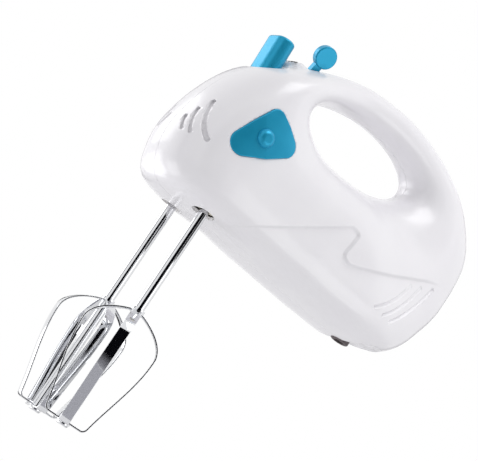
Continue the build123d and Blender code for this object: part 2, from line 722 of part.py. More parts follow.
bush_places = {
    "front_bush": -PLATE_HALF_LENGTH,
    "middle_bush": BRACKET_START,
    "rear_bush": CAP_END - CAP_WALL,
}
for name, start in bush_places.items():
    length = CAP_WALL if name == "rear_bush" else BRIDGE_THICKNESS
    with BuildPart() as bush:
        with BuildSketch(across(start)):
            Circle(BUSH_RADIUS)
            Circle(SHAFT_RADIUS + RUNNING_FIT, mode=Mode.SUBTRACT)
        extrude(amount=length)
    save(bush, name)

with BuildPart() as motor_bracket:
    with BuildSketch(across(BRACKET_START)):
        Rectangle(BRACKET_WIDTH, STACK_HEIGHT)
        Circle(BUSH_RADIUS, mode=Mode.SUBTRACT)
    extrude(amount=BRIDGE_THICKNESS)
    with BuildSketch(across(BRACKET_START)):
        for end in (-1, 1):
            with Locations((0, end * (STACK_HEIGHT - BRACKET_ARM) / 2)):
                Rectangle(BRACKET_WIDTH, BRACKET_ARM)
    extrude(amount=STACK_START - BRACKET_START)
save(motor_bracket, "motor_bracket")

with BuildPart() as fan:
    with BuildSketch(across(FAN_START)):
        Circle(FAN_RADIUS)
    extrude(amount=FAN_DISC)
    with BuildSketch(across(FAN_START)):
        Circle(FAN_HUB_RADIUS)
    extrude(amount=FAN_DEPTH)
    with BuildSketch(across(FAN_START + FAN_DISC)):
        with PolarLocations((FAN_HUB_RADIUS + FAN_RADIUS) / 2 - FAN_HUB_KEY, FAN_BLADES):
            Rectangle(FAN_RADIUS - FAN_HUB_RADIUS, FAN_BLADE, rotation=FAN_SWEEP)
    extrude(amount=FAN_DEPTH - FAN_DISC)
    with BuildSketch(across(FAN_START)):
        Circle(SHAFT_RADIUS)
    extrude(amount=FAN_DEPTH, mode=Mode.SUBTRACT)
save(fan, "fan")

with BuildPart() as armature_core:
    with BuildSketch(across(STACK_START)):
        Circle(ROTOR_RADIUS)
        Circle(SHAFT_RADIUS, mode=Mode.SUBTRACT)
        with PolarLocations(ROTOR_RADIUS - SLOT_DEPTH / 2, ROTOR_SLOTS):
            Rectangle(SLOT_DEPTH + OVERRUN, SLOT_WIDTH, mode=Mode.SUBTRACT)
    extrude(amount=STACK_LENGTH)
save(armature_core, "armature_core")

with BuildPart() as armature_winding:
    for start in (STACK_START - WINDING_OVERHANG, STACK_END):
        with BuildSketch(across(start)):
            Circle(WINDING_RADIUS)
            Circle(SHAFT_RADIUS, mode=Mode.SUBTRACT)
        extrude(amount=WINDING_OVERHANG)
    outer_end = armature_winding.edges().filter_by(GeomType.CIRCLE).filter_by(
        lambda edge: abs(edge.radius - WINDING_RADIUS) < SLANT_STEP
    )
    fillet([outer_end.sort_by(Axis.X)[0], outer_end.sort_by(Axis.X)[-1]], WINDING_EDGE)
    with BuildSketch(across(STACK_START - OVERRUN)):
        with PolarLocations(ROTOR_RADIUS - SLOT_DEPTH + WIRE_DEPTH / 2 + POCKET_GAP, ROTOR_SLOTS):
            Rectangle(WIRE_DEPTH, SLOT_WIDTH - 2 * POCKET_GAP)
    extrude(amount=STACK_LENGTH + 2 * OVERRUN)
save(armature_winding, "armature_winding")

COMMUTATOR_START = STACK_END + WINDING_OVERHANG + COMMUTATOR_GAP
with BuildPart() as commutator:
    with BuildSketch(across(COMMUTATOR_START)):
        Circle(COMMUTATOR_RADIUS)
        with PolarLocations(COMMUTATOR_RADIUS, COMMUTATOR_BARS):
            Rectangle(BAR_GAP_DEPTH * 2, BAR_GAP_WIDTH, mode=Mode.SUBTRACT)
        Circle(SHAFT_RADIUS, mode=Mode.SUBTRACT)
    extrude(amount=COMMUTATOR_LENGTH)
save(commutator, "commutator")


def ring_sector(inner: float, outer: float, start: float, sweep_angle: float) -> Face:
    """Flat sector of a ring, for the sketch that calls it."""
    with BuildLine() as outline:
        outer_arc = CenterArc((0, 0), outer, start, sweep_angle)
        inner_arc = CenterArc((0, 0), inner, start, sweep_angle)
        Line(outer_arc @ 0, inner_arc @ 0)
        Line(outer_arc @ 1, inner_arc @ 1)
    return make_face(outline.edges())


with BuildPart() as field_core:
    with BuildSketch(across(STACK_START)) as stack:
        Rectangle(STACK_WIDTH, STACK_HEIGHT)
        fillet(stack.vertices(), STACK_CORNER)
        Circle(ROTOR_RADIUS + AIR_GAP, mode=Mode.SUBTRACT)
    extrude(amount=STACK_LENGTH)
    # windows for the coil sides
    for centre in (0, 180):
        with BuildSketch(across(STACK_START)):
            ring_sector(
                ROTOR_RADIUS, COIL_OUTER + POCKET_GAP, centre - COIL_ANGLE - WINDOW_MARGIN,
                2 * (COIL_ANGLE + WINDOW_MARGIN),
            )
        extrude(amount=STACK_LENGTH, mode=Mode.SUBTRACT)
save(field_core, "field_core")

with BuildPart() as field_coils:
    for flip in (1, -1):
        first = COIL_MARGIN if flip > 0 else 180 + COIL_MARGIN
        for start in (STACK_START - COIL_OVERHANG, STACK_END):
            with BuildSketch(across(start)):
                ring_sector(COIL_INNER, COIL_OUTER, first, 180 - 2 * COIL_MARGIN)
            extrude(amount=COIL_OVERHANG)
        for corner in (first, first + 180 - COIL_MARGIN - COIL_ANGLE):
            with BuildSketch(across(STACK_START - OVERRUN)):
                ring_sector(COIL_INNER, COIL_OUTER, corner, COIL_ANGLE - COIL_MARGIN)
            extrude(amount=STACK_LENGTH + 2 * OVERRUN)
save(field_coils, "field_coils")

BRUSH_X = COMMUTATOR_START + COMMUTATOR_LENGTH / 2
with BuildPart() as motor_cap:
    with BuildSketch(across(STACK_END)):
        Rectangle(STACK_WIDTH, STACK_HEIGHT)
        Rectangle(STACK_WIDTH - 2 * CAP_WALL, STACK_HEIGHT - 2 * CAP_WALL, mode=Mode.SUBTRACT)
    extrude(amount=CAP_LENGTH)
    with BuildSketch(across(CAP_END - CAP_WALL)):
        Rectangle(STACK_WIDTH, STACK_HEIGHT)
        Circle(BUSH_RADIUS, mode=Mode.SUBTRACT)
        with GridLocations(CAP_VENT_SPACING, CAP_VENT_SPACING, 2, 2):
            Circle(CAP_VENT_RADIUS, mode=Mode.SUBTRACT)
    extrude(amount=CAP_WALL)
    with BuildSketch(Plane.XZ):
        with Locations((BRUSH_X, DRIVE_Z)):
            Circle(BRUSH_TUBE_RADIUS)
    extrude(amount=STACK_WIDTH, both=True, mode=Mode.SUBTRACT)
    chamfer(motor_cap.edges().filter_by(Axis.X).group_by(Axis.Y)[0], CAP_CHAMFER)
    chamfer(motor_cap.edges().filter_by(Axis.X).group_by(Axis.Y)[-1], CAP_CHAMFER)
save(motor_cap, "motor_cap")

for name, side in SIDES.items():
    with BuildPart() as brush_tube:
        with BuildSketch(Plane.XZ.offset(-side * (COMMUTATOR_RADIUS + TUBE_GAP))):
            with Locations((BRUSH_X, DRIVE_Z)):
                Circle(BRUSH_TUBE_RADIUS)
                Rectangle(BRUSH_SIDE + POCKET_GAP, BRUSH_SIDE + POCKET_GAP, mode=Mode.SUBTRACT)
        extrude(amount=-side * (STACK_WIDTH / 2 + TUBE_PROUD - COMMUTATOR_RADIUS - TUBE_GAP))
    save(brush_tube, f"{name}_brush_tube")

    with BuildPart() as brush:
        with BuildSketch(Plane.XZ.offset(-side * (COMMUTATOR_RADIUS + BRUSH_GAP))):
            with Locations((BRUSH_X, DRIVE_Z)):
                Rectangle(BRUSH_SIDE, BRUSH_SIDE)
        extrude(amount=-side * BRUSH_LENGTH)
    save(brush, f"{name}_brush")

    with BuildPart() as brush_cap:
        with BuildSketch(Plane.XZ.offset(-side * (STACK_WIDTH / 2 + TUBE_PROUD))):
            with Locations((BRUSH_X, DRIVE_Z)):
                Circle(BRUSH_TUBE_RADIUS + BRUSH_CAP_RIM)
        extrude(amount=-side * BRUSH_CAP_THICKNESS)
    save(brush_cap, f"{name}_brush_cap")

# ---------------------------------------------------------------- ejector
with BuildPart() as eject_button:
    with BuildSketch(EJECT_PLANE.offset(-BUTTON_SINK)):
        SlotOverall(BUTTON_WIDTH, BUTTON_LENGTH, rotation=90)
    extrude(amount=BUTTON_SINK + BUTTON_RISE)
    fillet(eject_button.faces().sort_by(Axis.Z)[-1].edges(), BUTTON_EDGE)
    with BuildSketch(EJECT_PLANE.offset(-BUTTON_SINK - STOP_THICKNESS)):
        SlotOverall(BUTTON_WIDTH + 2 * STOP_RIM, BUTTON_LENGTH + 2 * STOP_RIM, rotation=90)
    extrude(amount=STOP_THICKNESS)
save(eject_button, "eject_button")

with BuildPart() as ejector_plate:
    with BuildSketch(Plane.XY.offset(PIN_TOP + SEAT_GAP)):
        Rectangle(2 * PIN_HEAD_RADIUS, AXIS_SPACING + 2 * PIN_HEAD_RADIUS)
        with Locations((PLATE_SHIFT, 0)):
            Rectangle(4 * STEM_RADIUS, 4 * STEM_RADIUS)
    extrude(amount=EJECTOR_PLATE_THICKNESS)
    with BuildSketch(EJECT_PLANE.offset(-BUTTON_SINK - STOP_THICKNESS)):
        Circle(STEM_RADIUS)
    extrude(until=Until.NEXT, dir=-EJECT_PLANE.z_dir)
save(ejector_plate, "ejector_plate")

with BuildPart() as ejector_spring:
    coil = Helix(
        pitch=(SPRING_LENGTH - SPRING_WIRE) / SPRING_TURNS,
        height=SPRING_LENGTH - SPRING_WIRE,
        radius=SPRING_RADIUS,
        center=(SPRING_X, 0, UPPER_PLATE_Z + PLATE_THICKNESS + SEAT_GAP + SPRING_WIRE / 2),
        mode=Mode.PRIVATE,
    )
    with BuildSketch(Plane(origin=coil @ 0, z_dir=coil % 0)):
        Circle(SPRING_WIRE / 2)
    sweep(path=coil, is_frenet=True)
save(ejector_spring, "ejector_spring")

# ---------------------------------------------------------------- speed control
with BuildPart() as speed_lever:
    with BuildSketch(Plane(LEVER_PLANE.origin, x_dir=LEVER_PLANE.x_dir, z_dir=-LEVER_PLANE.y_dir)):
        with Locations((0, LEVER_LENGTH)):
            Circle(THUMB_RADIUS)
    extrude(amount=THUMB_THICKNESS / 2, both=True)
    fillet(speed_lever.edges().filter_by(GeomType.CIRCLE), THUMB_EDGE)
    with BuildSketch(Plane(LEVER_PLANE.origin, x_dir=LEVER_PLANE.y_dir, z_dir=LEVER_PLANE.x_dir)):
        Circle(LEVER_HUB_RADIUS)
    extrude(amount=LEVER_HUB_WIDTH / 2, both=True)
    with BuildSketch(LEVER_PLANE.offset(-TAIL_LENGTH)):
        Rectangle(TAIL_WIDTH, 2 * TAIL_RADIUS)
    extrude(amount=TAIL_LENGTH)
    with BuildSketch(LEVER_PLANE):
        Rectangle(LEVER_THICKNESS, LEVER_DEPTH)
    extrude(amount=LEVER_LENGTH)
    with BuildSketch(Plane(LEVER_PLANE.origin, x_dir=LEVER_PLANE.y_dir, z_dir=LEVER_PLANE.x_dir)):
        Circle(PIVOT_RADIUS + RUNNING_FIT)
    extrude(amount=LEVER_HUB_WIDTH, both=True, mode=Mode.SUBTRACT)
save(speed_lever, "speed_lever")

EAR_START = LEVER_HUB_WIDTH / 2 + SLIDING_GAP
with BuildPart() as switch_body:
    with BuildSketch(Plane.XY.offset(SWITCH_Z)):
        with Locations((LEVER_X, 0)):
            Rectangle(2 * (EAR_START + EAR_THICKNESS), SWITCH_WIDTH)
    extrude(amount=SWITCH_HEIGHT)
    for end in (-1, 1):
        with BuildSketch(Plane.YZ.offset(LEVER_X + end * EAR_START)):
            with Locations((0, (SWITCH_Z + LEVER_PIVOT_Z) / 2)):
                Rectangle(2 * LEVER_HUB_RADIUS, LEVER_PIVOT_Z - SWITCH_Z)
            with Locations((0, LEVER_PIVOT_Z)):
                Circle(LEVER_HUB_RADIUS)
                Circle(PIVOT_RADIUS, mode=Mode.SUBTRACT)
        extrude(amount=end * EAR_THICKNESS)
save(switch_body, "switch_body")

with BuildPart() as pivot_pin:
    with BuildSketch(Plane.YZ.offset(LEVER_X - EAR_START - EAR_THICKNESS)):
        with Locations((0, LEVER_PIVOT_Z)):
            Circle(PIVOT_RADIUS)
    extrude(amount=2 * (EAR_START + EAR_THICKNESS))
save(pivot_pin, "lever_pivot_pin")

SLIDER_Y = TAIL_LENGTH * math.sin(math.radians(LEVER_LEAN))
with BuildPart() as switch_slider:
    with BuildSketch(Plane.XY.offset(SWITCH_Z + SWITCH_HEIGHT + SLIDING_GAP)):
        with Locations((LEVER_X, SLIDER_Y)):
            Rectangle(LEVER_HUB_WIDTH, SLIDER_LENGTH)
            Rectangle(LEVER_HUB_WIDTH, 2 * (TAIL_RADIUS + SLIDER_PLAY), mode=Mode.SUBTRACT)
    extrude(amount=SLIDER_HEIGHT)
    with BuildSketch(Plane.XY.offset(SWITCH_Z + SWITCH_HEIGHT + SLIDING_GAP)):
        with Locations((LEVER_X, SLIDER_Y)):
            Rectangle(LEVER_HUB_WIDTH, SLIDER_LENGTH)
    extrude(amount=SLIDER_FLOOR)
save(switch_slider, "switch_slider")

# ---------------------------------------------------------------- beaters
def loop_profile(plane: Plane, inset: float) -> Sketch:
    """Filled side view of one beater loop on its own plane, inset from the outermost strip."""
    shoulder = (COLLAR_RADIUS, -BEATER_SHOULDER - inset)
    widest = (LOOP_RADIUS - inset, -BEATER_SHOULDER - LOOP_CHEEK)
    foot = (LOOP_FOOT_RADIUS - inset, -BEATER_FOOT + LOOP_BEND)
    corner = (LOOP_FOOT_RADIUS - LOOP_BEND, -BEATER_FOOT + inset)
    inwards = (LOOP_FOOT_RADIUS - LOOP_RADIUS, LOOP_CHEEK - LOOP_HEIGHT)
    with BuildSketch(plane, mode=Mode.PRIVATE) as profile:
        with BuildLine():
            Line((0, -BEATER_SHOULDER - inset), shoulder)
            Spline(shoulder, widest, tangents=[(1, -LOOP_DROOP), (0, -1)])
            Spline(widest, foot, tangents=[(0, -1), inwards])
            Polyline(foot, corner, (0, -BEATER_FOOT + inset))
            mirror(about=Plane.YZ)
        make_face()
        fillet(profile.vertices().group_by(Axis.Y)[0], LOOP_BEND / 2)
    return profile.sketch


loop_layers = {"outer": (0, 0), "inner": (STRIP_THICKNESS + STRIP_GAP, 90)}
for name, side in SIDES.items():
    turn = LEFT_BEATER_TURN if side < 0 else RIGHT_BEATER_TURN
    beater_axis = Plane(origin=(0, side * AXIS_SPACING / 2, 0)).rotated((0, 0, turn))

    with BuildPart() as beater_shaft:
        with BuildSketch(beater_axis.offset(-BEATER_FOOT)):
            Circle(BEATER_SHAFT_RADIUS)
        extrude(amount=BEATER_FOOT + BEATER_INSERTION)
        chamfer(beater_shaft.edges().sort_by(Axis.Z)[-1], SHAFT_CHAMFER)
        with BuildSketch(beater_axis.offset(-BEATER_SHOULDER)):
            Circle(COLLAR_RADIUS)
        extrude(amount=COLLAR_HEIGHT)
        with BuildSketch(beater_axis.offset(LUG_Z)):
            Rectangle(2 * LUG_REACH, LUG_WIDTH)
        extrude(amount=LUG_HEIGHT)
    save(beater_shaft, f"{name}_beater_shaft")

    for layer, (inset, quarter) in loop_layers.items():
        upright = beater_axis.rotated((0, 0, quarter))
        loop_plane = Plane(origin=upright.origin, x_dir=upright.x_dir, z_dir=-upright.y_dir)
        with BuildPart() as loop:
            extrude(loop_profile(loop_plane, inset), amount=STRIP_WIDTH / 2, both=True)
            hollow = loop_profile(loop_plane, inset + STRIP_THICKNESS)
            extrude(hollow, amount=STRIP_WIDTH, both=True, mode=Mode.SUBTRACT)
            # round eyes around the shaft at both ends of the strip
            for height in (-BEATER_SHOULDER - inset - STRIP_THICKNESS, -BEATER_FOOT + inset):
                with BuildSketch(beater_axis.offset(height)):
                    Circle(COLLAR_RADIUS)
                extrude(amount=STRIP_THICKNESS)
            with BuildSketch(beater_axis.offset(-BEATER_FOOT)):
                Circle(BEATER_SHAFT_RADIUS)
            extrude(amount=LOOP_HEIGHT, mode=Mode.SUBTRACT)
        save(loop, f"{name}_beater_{layer}_loop")

    with BuildPart() as beater_rivet:
        with BuildSketch(beater_axis.offset(-BEATER_FOOT - RIVET_HEIGHT)):
            Circle(RIVET_RADIUS)
        extrude(amount=RIVET_HEIGHT)
        fillet(beater_rivet.edges().sort_by(Axis.Z)[0], RIVET_HEIGHT * RIVET_CROWN)
    save(beater_rivet, f"{name}_beater_rivet")
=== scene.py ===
"""Looks of the hand mixer: dense housing halves, finishes for every node, a studio and the camera.

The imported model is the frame. Sizes in the classes are millimetres and meshes are brought to metres last,
except in the studio, whose sizes are metres.
"""

import logging
import math
from contextlib import contextmanager
from dataclasses import dataclass
from enum import Enum
from typing import Iterable, Iterator, Sequence

import bmesh
import bpy
import numpy as np
from mathutils import Matrix, Vector


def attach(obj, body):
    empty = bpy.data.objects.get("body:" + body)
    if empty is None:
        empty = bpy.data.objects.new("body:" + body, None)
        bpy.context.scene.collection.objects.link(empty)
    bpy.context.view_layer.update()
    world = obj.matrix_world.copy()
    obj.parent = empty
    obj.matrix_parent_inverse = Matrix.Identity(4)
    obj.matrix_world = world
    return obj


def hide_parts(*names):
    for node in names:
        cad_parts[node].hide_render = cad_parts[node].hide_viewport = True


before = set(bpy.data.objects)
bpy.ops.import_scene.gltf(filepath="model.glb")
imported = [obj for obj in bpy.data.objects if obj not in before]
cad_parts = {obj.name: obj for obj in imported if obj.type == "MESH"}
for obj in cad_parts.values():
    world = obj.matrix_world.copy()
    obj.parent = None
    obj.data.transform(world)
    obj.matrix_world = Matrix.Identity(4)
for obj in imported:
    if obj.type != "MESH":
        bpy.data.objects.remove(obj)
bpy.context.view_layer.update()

LOG = logging.getLogger("hand_mixer")
MM = 0.001
SIDES = {"left": -1, "right": 1}
Flat = tuple[float, float]
Spot = tuple[float, float, float]
Point = Sequence[float]
Inputs = dict[str | int, object]
Mesh = bpy.types.Mesh
Material = bpy.types.Material
Tree = bpy.types.NodeTree
Socket = bpy.types.NodeSocket

SQUARE = ((-1, -1), (1, -1), (1, 1), (-1, 1))
WHITE = (1.0, 1.0, 1.0, 1.0)
# a noise seldom leaves this part of its range
NOISE_RANGE = (0.3, 0.7)
# a distance that no place on the part reaches
FAR = 1000.0
# distance between the two beater axes
AXIS_SPACING = 35.0
# circles whose common outline is the badge: X, Z and radius
BADGE_ROUNDS: tuple[Spot, ...] = (
    (-4.9, 63.3, 6.0),
    (2.3, 59.5, 6.7),
    (9.5, 55.7, 6.5),
    (-2.5, 48.1, 7.8),
    (-14.5, 40.5, 7.2),
    (-9.7, 51.9, 7.0),
)
# middle of the seat under each housing screw's head
SCREW_SEATS: tuple[Spot, ...] = (
    (-30.5, 12.0, 30.0),
    (30.0, 12.0, 8.5),
    (112.0, 12.0, 9.5),
    (168.0, 10.0, 66.0),
    (90.0, 8.0, 122.0),
)


class Part(Enum):
    """What a boolean step keeps."""

    JOIN = "UNION"
    CUT = "DIFFERENCE"
    COMMON = "INTERSECT"


class Run(Enum):
    """Direction along which a striped finish repeats."""

    X = "X"
    Y = "Y"
    Z = "Z"


# ---------------------------------------------------------------- colour and nodes
def linear(code: str) -> tuple[float, ...]:
    """Turn an sRGB hex colour into linear RGBA.

    Args:
        code: six hex digits after a hash sign.

    Returns:
        Red, green, blue and an alpha of one.
    """
    parts = [int(code[start : start + 2], 16) / 255 for start in (1, 3, 5)]
    return *(part / 12.92 if part <= 0.04045 else ((part + 0.055) / 1.055) ** 2.4 for part in parts), 1.0


def add_node(tree: Tree, kind: str, inputs: Inputs | None = None, **settings: object) -> bpy.types.Node:
    """Add one node with its settings and links.

    Args:
        tree: the node tree that gets the node.
        kind: Blender's name of the node type.
        inputs: input name or index, and its value, the socket linked to it, or a list of such sockets.
        settings: attributes of the node.

    Returns:
        The new node.
    """
    node = tree.nodes.new(kind)
    for key, value in settings.items():
        setattr(node, key, value)
    for key, value in (inputs or {}).items():
        sources = value if isinstance(value, list) else [value]
        for source in sources:
            if isinstance(source, bpy.types.NodeSocket):
                tree.links.new(source, node.inputs[key])
            else:
                node.inputs[key].default_value = source
    return node


def new_material(name: str) -> tuple[Material, Tree]:
    """Make an empty node material and return it with its tree."""
    material = bpy.data.materials.new(name)
    material.use_nodes = True
    material.node_tree.nodes.clear()
    return material, material.node_tree


@dataclass(frozen=True)
class Finish:
    """What every finish shares: two mixed colours, a roughness, a fine relief and one shader."""

    name: str
    colour: str
    shade: str
    roughness: float

    def start(self) -> tuple[Material, Tree, Socket]:
        """Empty material, its tree and the piece's own coordinates."""
        material, tree = new_material(self.name)
        return material, tree, add_node(tree, "ShaderNodeTexCoord").outputs["Object"]

    def close(self, tree: Tree, pattern: Socket, relief: Inputs, rest: Inputs, gloss: Point = ()) -> None:
        """Mix the colours, vary the roughness, add the relief and end the tree.

        Args:
            tree: the material's tree.
            pattern: goes from the shade at zero to the colour at one.
            relief: height, strength and depth of the bump.
            rest: the shader's other inputs.
            gloss: least and most share of the roughness, or nothing where it is even.
        """
        blend = {0: pattern, 6: linear(self.shade), 7: linear(self.colour)}
        colour = add_node(tree, "ShaderNodeMix", blend, data_type="RGBA")
        roughness: object = self.roughness
        if gloss:
            limits = (*NOISE_RANGE, *(self.roughness * share for share in gloss))
            spread = {0: pattern, **dict(enumerate(limits, 1))}
            roughness = add_node(tree, "ShaderNodeMapRange", spread).outputs[0]
        normal = add_node(tree, "ShaderNodeBump", relief).outputs["Normal"]
        inputs = {"Base Color": colour.outputs[2], "Roughness": roughness, "Normal": normal, **rest}
        shader = add_node(tree, "ShaderNodeBsdfPrincipled", inputs)
        add_node(tree, "ShaderNodeOutputMaterial", {"Surface": shader.outputs[0]})


@dataclass(frozen=True)
class MouldedPlastic(Finish):
    """Moulded plastic or rubber: even colour, fine tool grain and a gloss that drifts where the flow met."""

    ior: float = 1.54
    grain: float = 0.5
    grain_depth: float = 0.004
    drift: float = 30.0
    coat: float = 0.0
    pearl: float = 0.0
    coat_roughness: float = 0.06
    grain_strength: float = 0.6
    details: Flat = (3.0, 2.0)
    gloss: Flat = (0.9, 1.12)

    def material(self) -> Material:
        """Build the finish."""
        material, tree, place = self.start()
        patterns = []
        for size, detail in zip((self.drift, self.grain), self.details):
            cells = {"Vector": place, "Scale": 1 / (size * MM), "Detail": detail}
            patterns.append(add_node(tree, "ShaderNodeTexNoise", cells).outputs["Fac"])
        flow, speck = patterns
        relief = {"Height": speck, "Strength": self.grain_strength, "Distance": self.grain_depth * MM}
        rest = {"IOR": self.ior, "Metallic": self.pearl}
        rest |= {"Coat Weight": self.coat, "Coat Roughness": self.coat_roughness}
        self.close(tree, flow, relief, rest, self.gloss)
        return material


@dataclass(frozen=True)
class WorkedMetal(Finish):
    """Drawn, plated or turned metal: fine streaks along the working direction change how it shines."""

    run: Run = Run.Z
    streak: float = 0.35
    stretch: float = 40.0
    depth: float = 0.001
    streak_strength: float = 0.5
    detail: float = 3.0
    gloss: Flat = (0.75, 1.3)

    def material(self) -> Material:
        """Build the finish."""
        material, tree, place = self.start()
        scale = tuple(1 / (self.streak * MM) / (self.stretch if axis is self.run else 1) for axis in Run)
        along = add_node(tree, "ShaderNodeMapping", {"Vector": place, "Scale": scale})
        cells = {"Vector": along.outputs[0], "Scale": 1.0, "Detail": self.detail}
        streaks = add_node(tree, "ShaderNodeTexNoise", cells).outputs["Fac"]
        relief = {"Height": streaks, "Strength": self.streak_strength, "Distance": self.depth * MM}
        self.close(tree, streaks, relief, {"Metallic": 1.0}, self.gloss)
        return material


@dataclass(frozen=True)
class Layered(Finish):
    """Wire or sheet laid side by side: dark joints between bright rows, one row to each pitch."""

    metallic: float
    pitch: float
    run: Run
    joint_strength: float = 0.7
    joint_share: float = 0.25
    waver: float = 0.4

    def material(self) -> Material:
        """Build the finish."""
        material, tree, place = self.start()
        # one wave of Blender's bands is 2 pi / 20 of a unit at scale one
        scale = math.pi / 10 / (self.pitch * MM)
        bands = {"Vector": place, "Scale": scale, "Distortion": self.waver, "Detail": 1.0}
        along = self.run.value
        wave = add_node(tree, "ShaderNodeTexWave", bands, wave_type="BANDS", bands_direction=along)
        rows = wave.outputs["Fac"]
        depth = self.pitch * MM * self.joint_share
        relief = {"Height": rows, "Strength": self.joint_strength, "Distance": depth}
        self.close(tree, rows, relief, {"Metallic": self.metallic})
        return material


FINISHES = {
    # glossy moulded ABS, slightly cold white, so that it takes broad soft highlights
    "white_abs": MouldedPlastic("white_moulded_abs", "#EAE9EC", "#E4E2E7", 0.24, coat=0.12),
    # polished-tool ABS with a pearly teal pigment, so that its shine takes the pigment's colour
    "teal_abs": MouldedPlastic(
        "teal_moulded_abs", "#16A0C6", "#1094BE", 0.36, ior=1.5, drift=12.0, grain_depth=0.002, pearl=0.42
    ),
    # moulded rubber: a dull skin that scatters what light it gets
    "grey_rubber": MouldedPlastic(
        "grey_moulded_rubber", "#5D5356", "#4C4346", 0.6, ior=1.52, grain=0.8, grain_depth=0.03
    ),
    # unpigmented acetal: milky, waxy and smooth
    "acetal": MouldedPlastic("natural_acetal", "#ECE7DA", "#E2DCCB", 0.35, ior=1.48),
    # hot-pressed phenolic: a resin skin over mottled filler
    "brown_phenolic": MouldedPlastic(
        "brown_pressed_phenolic", "#6B4A33", "#5A3D2A", 0.45, ior=1.6, drift=6.0
    ),
    # moulded nylon with filler: a satin black with a little grain
    "black_nylon": MouldedPlastic(
        "black_moulded_nylon", "#232326", "#1B1B1E", 0.42, ior=1.53, grain_depth=0.01
    ),
    # pressed carbon: dull and grainy, with no clear highlight
    "carbon": MouldedPlastic(
        "pressed_carbon", "#2B2B2D", "#1E1E20", 0.6, ior=1.7, grain=0.3, grain_depth=0.02
    ),
    # bright nickel-chrome plate over drawn wire, nearly a mirror
    "chrome": WorkedMetal("chrome_plate", "#E3E4E6", "#DCDDE0", 0.05, depth=0.0002),
    # ground steel: streaks along the rod draw its highlight out
    "steel": WorkedMetal("ground_steel", "#B9BABC", "#A3A4A8", 0.25),
    # thin zinc plate over formed steel: a cool grey, softer than chrome
    "zinc_screw": WorkedMetal("zinc_plated_steel", "#BFC3C6", "#A9AEB4", 0.3, run=Run.Y),
    # sintered bronze: open pores in every direction make it dull
    "bronze": WorkedMetal("sintered_bronze", "#A9794A", "#8F6439", 0.38, streak=0.2, stretch=1.0),
    # turned brass: fine tool marks soften its shine
    "brass": WorkedMetal("turned_brass", "#CDAA5A", "#B8944A", 0.28, run=Run.Y),
    # enamelled wire, 0.3 mm thick and drawn at 0.7 mm so that its shining turns still show
    "copper_wire": Layered("enamelled_copper_wire", "#D98C5F", "#7A3E24", 0.3, 0.8, 0.7, Run.Z),
    # punched steel sheets, 0.5 mm thick and drawn at 1 mm for the same reason
    "lamination": Layered("stacked_steel_laminations", "#9A9CA0", "#4A4B4F", 0.4, 0.9, 1.0, Run.X),
    # turned copper: streaks along the bars where the brushes wipe
    "copper_bars": WorkedMetal("turned_copper_bars", "#C77E55", "#A8623E", 0.26, run=Run.X),
}


# ---------------------------------------------------------------- mesh helpers
def placed(name: str, data: bpy.types.ID) -> bpy.types.Object:
    """Put a mesh, lamp or other data into the scene as an object at the origin."""
    piece = bpy.data.objects.new(name, data)
    bpy.context.scene.collection.objects.link(piece)
    return piece


def plain(carrier: bpy.types.Object) -> Mesh:
    """Plain mesh of a working object as its modifiers leave it. The object is removed."""
    depsgraph = bpy.context.evaluated_depsgraph_get()
    mesh = bpy.data.meshes.new_from_object(carrier.evaluated_get(depsgraph))
    carrier.modifiers.clear()
    bpy.data.objects.remove(carrier)
    return mesh


def mesh_from(name: str, points: Iterable[Point], faces: Iterable[Sequence[int]]) -> Mesh:
    """Make a mesh from plain points and faces."""
    mesh = bpy.data.meshes.new(name)
    mesh.from_pydata([tuple(point) for point in points], [], [tuple(face) for face in faces])
    mesh.validate()
    return mesh


@contextmanager
def opened(mesh: Mesh, kept: Mesh | None = None) -> Iterator[bmesh.types.BMesh]:
    """Open a mesh for editing, then write it back.

    Args:
        mesh: the mesh that is read.
        kept: the mesh that is written, where it isn't the same.

    Yields:
        The mesh while it is edited.
    """
    shape = bmesh.new()
    shape.from_mesh(mesh)
    yield shape
    shape.to_mesh(mesh if kept is None else kept)
    shape.free()


def combine(first: Mesh, second: Mesh, keep: Part) -> Mesh:
    """Boolean two closed meshes.

    Args:
        first: the mesh that is changed.
        second: the tool mesh.
        keep: what is left of the pair.

    Returns:
        The result as a new mesh.
    """
    target, tool = (placed("working", mesh) for mesh in (first, second))
    step = target.modifiers.new("boolean", "BOOLEAN")
    step.object = tool
    step.operation = keep.value
    step.solver = "MANIFOLD"
    result = plain(target)
    bpy.data.objects.remove(tool)
    counts = [len(mesh.polygons) for mesh in (first, second, result)]
    LOG.debug("%s: %d + %d -> %d faces", keep.name, *counts)
    return result


def join(name: str, meshes: Sequence[Mesh]) -> Mesh:
    """Put several closed meshes that stay apart into one."""
    whole = bmesh.new()
    for mesh in meshes:
        whole.from_mesh(mesh)
    joined = bpy.data.meshes.new(name)
    whole.to_mesh(joined)
    whole.free()
    return joined


def axes(right: Point, up: Point, normal: Point, origin: Point = (0, 0, 0)) -> Matrix:
    """Matrix that turns a plane's own coordinates into the part's.

    Args:
        right: the plane's first axis.
        up: its second axis.
        normal: its third axis.
        origin: where it starts.

    Returns:
        The matrix.
    """
    matrix = Matrix((right, up, normal)).transposed().to_4x4()
    matrix.translation = origin
    return matrix


def prism(outline: Sequence[Flat], plane: Matrix, start: float, end: float) -> Mesh:
    """Closed prism over a flat outline.

    Args:
        outline: corners in the plane, either way round.
        plane: turns the plane's own coordinates into the part's.
        start: height of one end along the plane's normal.
        end: height of the other end.

    Returns:
        A mesh whose faces point outwards.
    """
    count = len(outline)
    points = [plane @ Vector((x, y, height)) for height in (start, end) for x, y in outline]
    faces = [list(range(count)), list(range(count, 2 * count))]
    faces += [(k, (k + 1) % count, count + (k + 1) % count, count + k) for k in range(count)]
    mesh = mesh_from("prism", points, faces)
    with opened(mesh) as shape:
        bmesh.ops.recalc_face_normals(shape, faces=shape.faces)
    return mesh


